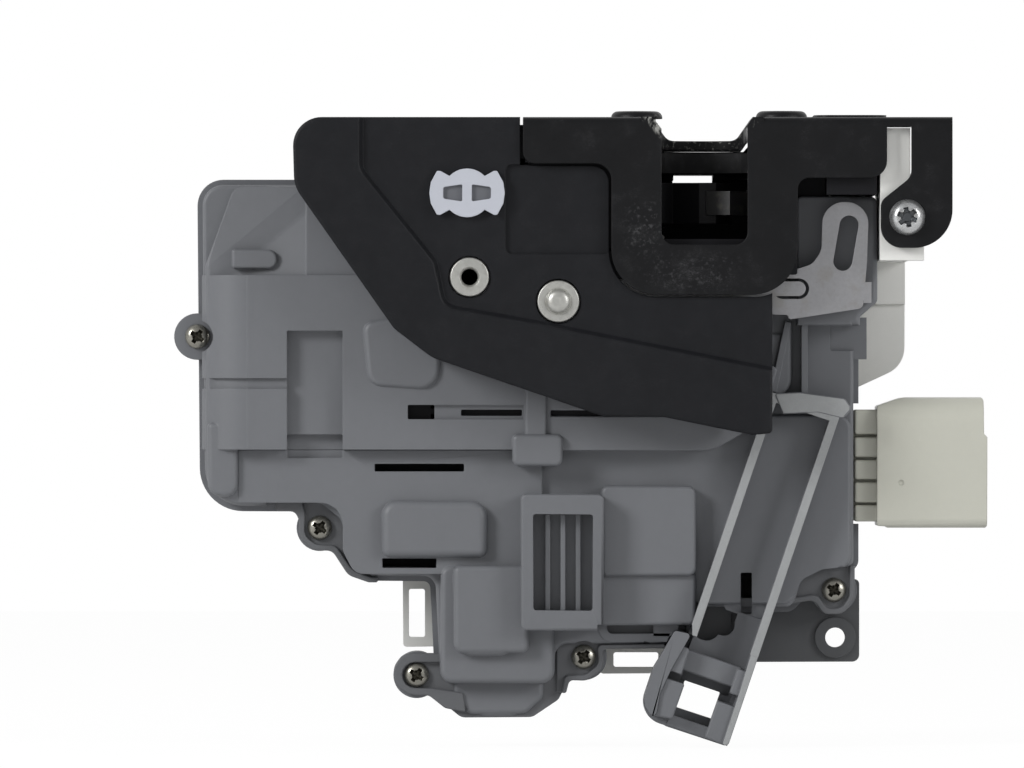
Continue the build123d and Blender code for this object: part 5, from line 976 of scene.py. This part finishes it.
def in_slot_painted_shade(face):
    """Whether a face is the floor of a slot in the plateau, which is painted near-black as painted shade.
    """
    x, y, z = (c / MM for c in face.center)
    in_slot = -63.3 < z < -60.3 and (-62.3 < x < -56.5 or -51.1 < x < -8)
    return in_slot and PLATEAU + 1.4 < y < PLATEAU + 3.9 and face.normal.y < -0.8


def make_front_cover():
    """The cover's copy with its relief drawn sharper, and a new end on its cable guide."""
    cover = eased_copy("front_cover", "front_cover_moulding", 0.3)
    below = [(-11.3, -103.7, 0), (9, -103.7, 0), (9, -126, 0), (-16, -126, 0), (-16, -112, 0)]
    below.append((-11.4, -108, 0))
    cut(
        cover,
        slab("below", below, -9, 0.9, **GUIDE),
        slab("behind", oblong(-16, 9, -126, -108.2), -9, 8, **GUIDE),
        slab("web", oblong(-5.9, 5.9, -104, -96.5), -1.0, 1.1, **GUIDE),
        slab("beside_ear_2", EAR_CLEAR_2, -12, 1.0),
        slab("beside_ear_5", EAR_CLEAR_5, -12, 1.0),
        box_cut(-22.4, -2.4, -111.4, -106.4, -1.2),
        box_cut(7.9, 10.2, -104.4, -95.6, 1.2),
    )
    fields = cover_fields()
    cut(cover, box_cut(*GROOVE), *(box_cut(*pocket) for pocket in POCKETS))
    plug = slab("plug", oblong(-10.5, -3.6, -109.0, -105.5), -1.2, 0.8)
    band = rounded_edges(slab("band", GUIDE_TOP, GUIDE_FRONT - 0.2, -5.0), 0.6, 3)
    merged(cover, plug, band, *fields, *bracket_pieces(), web_piece())
    fitted(cover, "housing", "grey_moulding", "front_cover")
    # the rails' fronts are painted lighter: partly rubbed wear, partly painted highlight
    finish_faces(cover, "rail_moulding", on_rail)
    # the slot floors take near-black plastic: painted shade for the shade deep in the slots
    finish_faces(cover, "case_black", in_slot_painted_shade)


# ears of the rear half: outline of the lip and outline of the seat inside it
EARS = (
    (
        [
            (-103.8, -39.2, 0),
            (-106.6, -40.5, 2.0),
            (-111.4, -42.1, 4.4),
            (-111.4, -49.6, 4.4),
            (-106.6, -51.2, 2.0),
            (-105.2, -53.4, 0),
            (-103.8, -53.4, 0),
        ],
        [(-104.0, -42.9, 0), (-110.0, -42.9, 3.0), (-110.0, -49.0, 3.0), (-104.0, -49.0, 0)],
    ),
    (
        [
            (-90.0, -80.4, 0),
            (-90.0, -82.6, 0),
            (-86.0, -82.8, 1.5),
            (-85.2, -84.5, 1.5),
            (-85.2, -88.4, 3.0),
            (-81.9, -91.0, 3.0),
            (-78.2, -91.0, 2.0),
            (-74.8, -96.2, 3.0),
            (-70.5, -97.7, 1.5),
            (-68.6, -97.7, 0),
            (-68.6, -80.4, 0),
        ],
        [
            (-84.6, -80.0, 0),
            (-83.9, -83.4, 2.0),
            (-84.1, -88.0, 2.6),
            (-81.4, -89.8, 2.6),
            (-77.4, -89.9, 2.0),
            (-73.9, -95.1, 3.0),
            (-70.0, -96.6, 1.0),
            (-68.0, -96.6, 0),
            (-68.0, -80.0, 0),
        ],
    ),
    (
        [
            (-52.0, -112.7, 0),
            (-63.2, -112.6, 3.0),
            (-65.2, -115.4, 3.0),
            (-65.2, -121.4, 4.6),
            (-57.8, -121.5, 2.0),
            (-54.4, -124.2, 2.0),
            (-50.0, -125.0, 0),
        ],
        [
            (-50.0, -114.6, 0),
            (-63.4, -114.5, 2.6),
            (-63.4, -119.9, 2.6),
            (-57.0, -120.0, 1.0),
            (-50.0, -121.0, 0),
        ],
    ),
    (
        [
            (-31.0, -104.0, 0),
            (-31.0, -121.0, 0),
            (-28.9, -121.0, 0),
            (-28.2, -118.3, 1.0),
            (-24.6, -118.4, 3.0),
            (-20.6, -115.9, 3.0),
            (-21.4, -111.7, 1.0),
            (-8.0, -111.6, 0),
            (-8.0, -104.0, 0),
        ],
        [
            (-31.5, -104.0, 0),
            (-31.5, -122.0, 0),
            (-30.0, -122.0, 0),
            (-29.2, -117.3, 1.0),
            (-24.8, -117.2, 2.4),
            (-22.0, -114.9, 2.0),
            (-22.4, -110.8, 1.0),
            (-8.0, -110.6, 0),
            (-8.0, -104.0, 0),
        ],
    ),
    (
        [
            (17.4, -94.0, 0),
            (17.4, -102.4, 0),
            (23.2, -101.4, 2.0),
            (25.4, -104.4, 2.0),
            (29.6, -104.4, 3.0),
            (31.9, -101.0, 3.0),
            (31.9, -94.0, 0),
        ],
        [
            (17.4, -93.0, 0),
            (17.4, -101.2, 0),
            (24.0, -100.1, 2.0),
            (25.9, -103.2, 2.0),
            (29.2, -103.2, 2.6),
            (30.8, -100.6, 2.6),
            (30.8, -93.0, 0),
        ],
    ),
)
# depths of the ears' lip, seat and back, and of the flange under the foot
EAR_LIP_Y = -0.5
EAR_SEAT_Y = 0.9
EAR_BACK_Y = 5.9
FLANGE_Y = 1.5
FOOT_FLANGE = (
    (-55.8, -114.0, 0.1),
    (-55.8, -122.3, 1.0),
    (-51.0, -126.2, 2.5),
    (-36.0, -126.1, 2.5),
    (-30.5, -122.4, 2.0),
    (-28.6, -118.6, 1.0),
    (-28.6, -112.0, 0.1),
)


def make_ears():
    """Screw ears of the rear half, each a sunk seat with a lip round it."""
    pieces = []
    for lip, seat in EARS:
        ear = slab("screw_ears", lip, EAR_LIP_Y, EAR_BACK_Y)
        cut(ear, slab("seat", seat, -2, EAR_SEAT_Y))
        pieces.append(rounded_edges(ear, 0.35, 3))
    ears = merged(*pieces)
    for x, z in COVER_SCREWS:
        cut(ears, disc(1.5, (x, z), -2, 8, 16))
    merged(ears, rounded_edges(slab("foot_flange", FOOT_FLANGE, FLANGE_Y, EAR_BACK_Y), 0.35, 3))
    fitted(ears, "housing", "dark_grey_moulding", finish="ear_moulding")


def make_base_sheet():
    """Dark sheet of the rear half, seen behind the scallops of the web."""
    corners = [(-7.6, -101.0, 0), (6, -101.0, 0), (6, -110.8, 0), (-5.0, -110.9, 1.0)]
    sheet = rounded_edges(slab("base_sheet", corners, 4.4, 5.8), 0.2)
    fitted(sheet, "housing", "dark_grey_moulding")


# black strips behind the gaps, put there as painted shade
STRIP_Y = (-16.6, -15.8)  # front and back of the strips
# left, right, foot and top of each strip
GAP_SHADE_STRIPS = (
    (-41.5, -36.8, -12.0, -1.6),
    (-41.5, -27.5, -12.0, -8.6),
    (-22.5, -16.5, -34.0, -28.0),
    (16.0, 19.5, -33.0, -29.4),
)


def make_gap_shade_strips():
    """Black strips behind the gaps between the shield and the steel plate: a dark sheet as painted shade,
    so that the gaps read as shaded.
    """
    pieces = []
    for place in GAP_SHADE_STRIPS:
        pieces.append(slab("gap_shade_strips", oblong(*place, 0.5), *STRIP_Y))
    fitted(rounded_edges(merged(*pieces), 0.1), "housing", "black_moulding")


# ------------------------------------------------------------------ connector


# foot and top of the blocks between the shroud and the housing
NECK_BLOCKS = (
    (-66.5, -61.3),
    (-71.3, -67.1),
    (-76.0, -71.9),
    (-80.9, -76.6),
    (-84.9, -81.4),
)


def make_connector():
    """Shroud of the wiring connector: crowned top, stepped mouth and a ribbed neck."""
    section = [(0.0, -58.7, 5.2), (20.0, -58.7, 2.4), (20.0, -86.2, 2.4), (0.0, -86.2, 2.0)]
    shroud = long_piece("connector_moulding", section, 36.6, 59.85)
    outline = [
        (36.5, -60.6, 0.8),
        (42.0, -58.7, 8.0),
        (59.1, -58.6, 0.9),
        (59.15, -66.4, 0.4),
        (59.86, -67.1, 0.4),
        (59.8, -86.3, 0.8),
        (39.0, -86.3, 0.5),
        (38.4, -85.9, 0.5),
        (36.5, -85.8, 0.5),
    ]
    side = slab("side", outline, -1, 21)
    finish_with(shroud, "BOOLEAN", operation="INTERSECT", object=side, solver="EXACT")
    bpy.data.objects.remove(side)
    mouth = bar("mouth", (51.5 * MM, 10 * MM, -72.5 * MM), (18 * MM, 15.2 * MM, 22.6 * MM))
    rounded_edges(mouth, 1.0, 3)
    cut(shroud, mouth)
    cut(shroud, disc(0.55, (41.7, -76.7), -1, 0.25, 16))
    rounded_edges(shroud, 0.2, 2, 30)
    neck = slab("neck", oblong(30.8, 37, -84.7, -61.4), 4.6, 16.0)
    blocks = []
    for foot, top in NECK_BLOCKS:
        block = slab("block", oblong(31.9, 37, foot, top), 2.4, 17.8)
        blocks.append(rounded_edges(block, 0.5, 3))
    merged(shroud, neck, *blocks)
    fitted(shroud, "housing", "connector_cream", "connector_shell")


CLIP_AT = (-49.7, -15.9)
CLIP_FRONT = -20.1
CLIP_BACK = -18.9
CLIP_WINDOW = -19.4  # floor of its windows


def make_clip():
    """Quarter-turn clip: a disc with two spread wings and two windows."""
    x, z = CLIP_AT
    head = disc(5.1, CLIP_AT, CLIP_FRONT, CLIP_BACK, 40)
    for side in (-1, 1):
        wing = [
            (x, z - 1.5 * side, 0),
            (x + 5.6 * side, z - 4.6 * side, 0.3),
            (x + 6.3 * side, z - 4.6 * side, 0.3),
            (x + 7.6 * side, z - 2.2 * side, 1.0),
            (x + 7.9 * side, z, 2.0),
            (x + 7.6 * side, z + 2.2 * side, 1.0),
            (x + 6.3 * side, z + 4.6 * side, 0.3),
            (x + 5.6 * side, z + 4.6 * side, 0.3),
            (x, z + 1.5 * side, 0),
        ]
        wing = slab("wing", wing, CLIP_FRONT, CLIP_BACK)
        finish_with(head, "BOOLEAN", operation="UNION", object=wing, solver="EXACT")
        bpy.data.objects.remove(wing)
    for side in (-1, 1):
        window = [
            (x + 1.0 * side, z + 1.8, 0.3),
            (x + 5.0 * side, z + 1.2, 0.5),
            (x + 5.0 * side, z - 1.2, 0.5),
            (x + 1.0 * side, z - 1.8, 0.3),
        ]
        cut(head, slab("window", window, -22, CLIP_WINDOW))
    rounded_edges(head, 0.25, 3, 30)
    head.name = "bayonet_clip_head"
    merged(head, disc(2.9, CLIP_AT, -19.0, -9.0, 24))
    fitted(head, "housing", "clip_white", "bayonet_clip")

    def in_window(face):
        cx, cy, cz = (c / MM for c in face.center)
        return abs(cy - CLIP_WINDOW) < 0.2 and abs(cx - x) < 5.2 and abs(cz - z) < 2.0

    # the window floors are painted dark grey: the cover seen through the openings, with painted shade
    finish_faces(head, "clip_window", in_window)


make_clip()
make_front_cover()
make_base_sheet()
make_ears()
make_gap_shade_strips()
make_connector()
make_cover_screws()
make_ear_screw()
make_lever_rivet()
make_hollow_rivet()
make_eased_pieces()


# ------------------------------------------------------------------ camera, light and floor

VIEW_CENTRE = (-40.3 * MM, -10 * MM, -55.9 * MM)
VIEW_WIDTH = 215 * MM
VIEW_DISTANCE = 3.0
SENSOR = 36.0


def turned_to(obj, target):
    """Points an object's own -Z at a target."""
    way = Vector(target) - obj.location
    obj.rotation_euler = way.to_track_quat("-Z", "Y").to_euler()


def set_camera():
    data = bpy.data.cameras.new("front_view")
    data.sensor_width = SENSOR
    data.lens = SENSOR * VIEW_DISTANCE / VIEW_WIDTH
    data.clip_end = 50
    camera = bpy.data.objects.new("front_view", data)
    camera.location = (VIEW_CENTRE[0], VIEW_CENTRE[1] - VIEW_DISTANCE, VIEW_CENTRE[2])
    turned_to(camera, VIEW_CENTRE)
    bpy.context.scene.collection.objects.link(camera)
    bpy.context.scene.camera = camera


def soft_lamp(name, place, size, watts):
    data = bpy.data.lights.new(name, "AREA")
    data.shape = "RECTANGLE"
    data.size, data.size_y = size
    data.energy = watts
    lamp = bpy.data.objects.new(name, data)
    lamp.location = place
    turned_to(lamp, VIEW_CENTRE)
    bpy.context.scene.collection.objects.link(lamp)


ROOM_LEVEL = 0.36


class Room(Finish):
    """The world's shader, made with the helpers of a finish."""

    def __init__(self, name):
        self.world = bpy.data.worlds.new(name)
        self.world.use_nodes = True
        self.tree = self.world.node_tree
        self.tree.nodes.clear()
        self.place = self.add("ShaderNodeTexCoord", output="Generated")

    def ray(self, kind):
        return self.add("ShaderNodeLightPath", output=f"Is {kind} Ray")

    def light(self, level):
        return self.add("ShaderNodeBackground", None, {"Color": (1, 1, 1, 1), "Strength": level})


def set_world():
    """Dim even room light, with a white backdrop for the eye and for what reflects it."""
    room = Room("room")
    behind = room.axis("Y").rise(0.0, 0.5)
    mirrored = room.ray("Glossy") * behind
    white = (room.ray("Camera") + room.ray("Transmission") + mirrored).least(1.0)
    inputs = {0: white, 1: room.light(ROOM_LEVEL), 2: room.light(1.0)}
    choice = room.add("ShaderNodeMixShader", None, inputs)
    room.add("ShaderNodeOutputWorld", None, {"Surface": choice})
    bpy.context.scene.world = room.world


FLOOR_SIZE = (6, 4.4, 1)
FLOOR_Y = -0.4
FLOOR_WHITE = 0.93  # share of plain white over the paper, for the camera alone


def set_floor():
    """A pale floor just below the object, which keeps its shadow."""
    low = CAD_BOX[0][2] - 0.2 * MM
    bpy.ops.object.select_all(action="DESELECT")
    bpy.ops.mesh.primitive_plane_add(size=1, location=(VIEW_CENTRE[0], FLOOR_Y, low))
    floor = bpy.context.object
    floor.name = "floor_sweep"
    floor.scale = FLOOR_SIZE
    bpy.ops.object.transform_apply(location=True, rotation=True, scale=True)
    f = Finish("floor_paper")
    cloud = f.noise(0.4, 2)
    tone = 0.88 + (cloud - 0.5) * 0.02
    colour = f.add("ShaderNodeCombineColor", None, {0: tone, 1: tone, 2: tone})
    inputs = {"Base Color": colour, "Roughness": 0.9}
    paper = f.add("ShaderNodeBsdfPrincipled", None, inputs)
    white = f.add("ShaderNodeEmission", None, {"Strength": 1.03})
    lifted = f.add("ShaderNodeMixShader", None, {0: FLOOR_WHITE, 1: paper, 2: white})
    seen = f.add("ShaderNodeLightPath")
    choice = f.add("ShaderNodeMixShader", None, {0: seen, 1: paper, 2: lifted})
    f.add("ShaderNodeOutputMaterial", None, {"Surface": choice})
    floor.data.materials.append(f.material)


set_camera()
set_world()
soft_lamp("key_lamp", (-1.15, -0.85, 0.6), (0.4, 0.5), 13.0)
soft_lamp("right_lamp", (1.15, -0.8, 0.4), (0.5, 0.5), 6.5)
set_floor()
bpy.context.scene.view_settings.view_transform = "Standard"
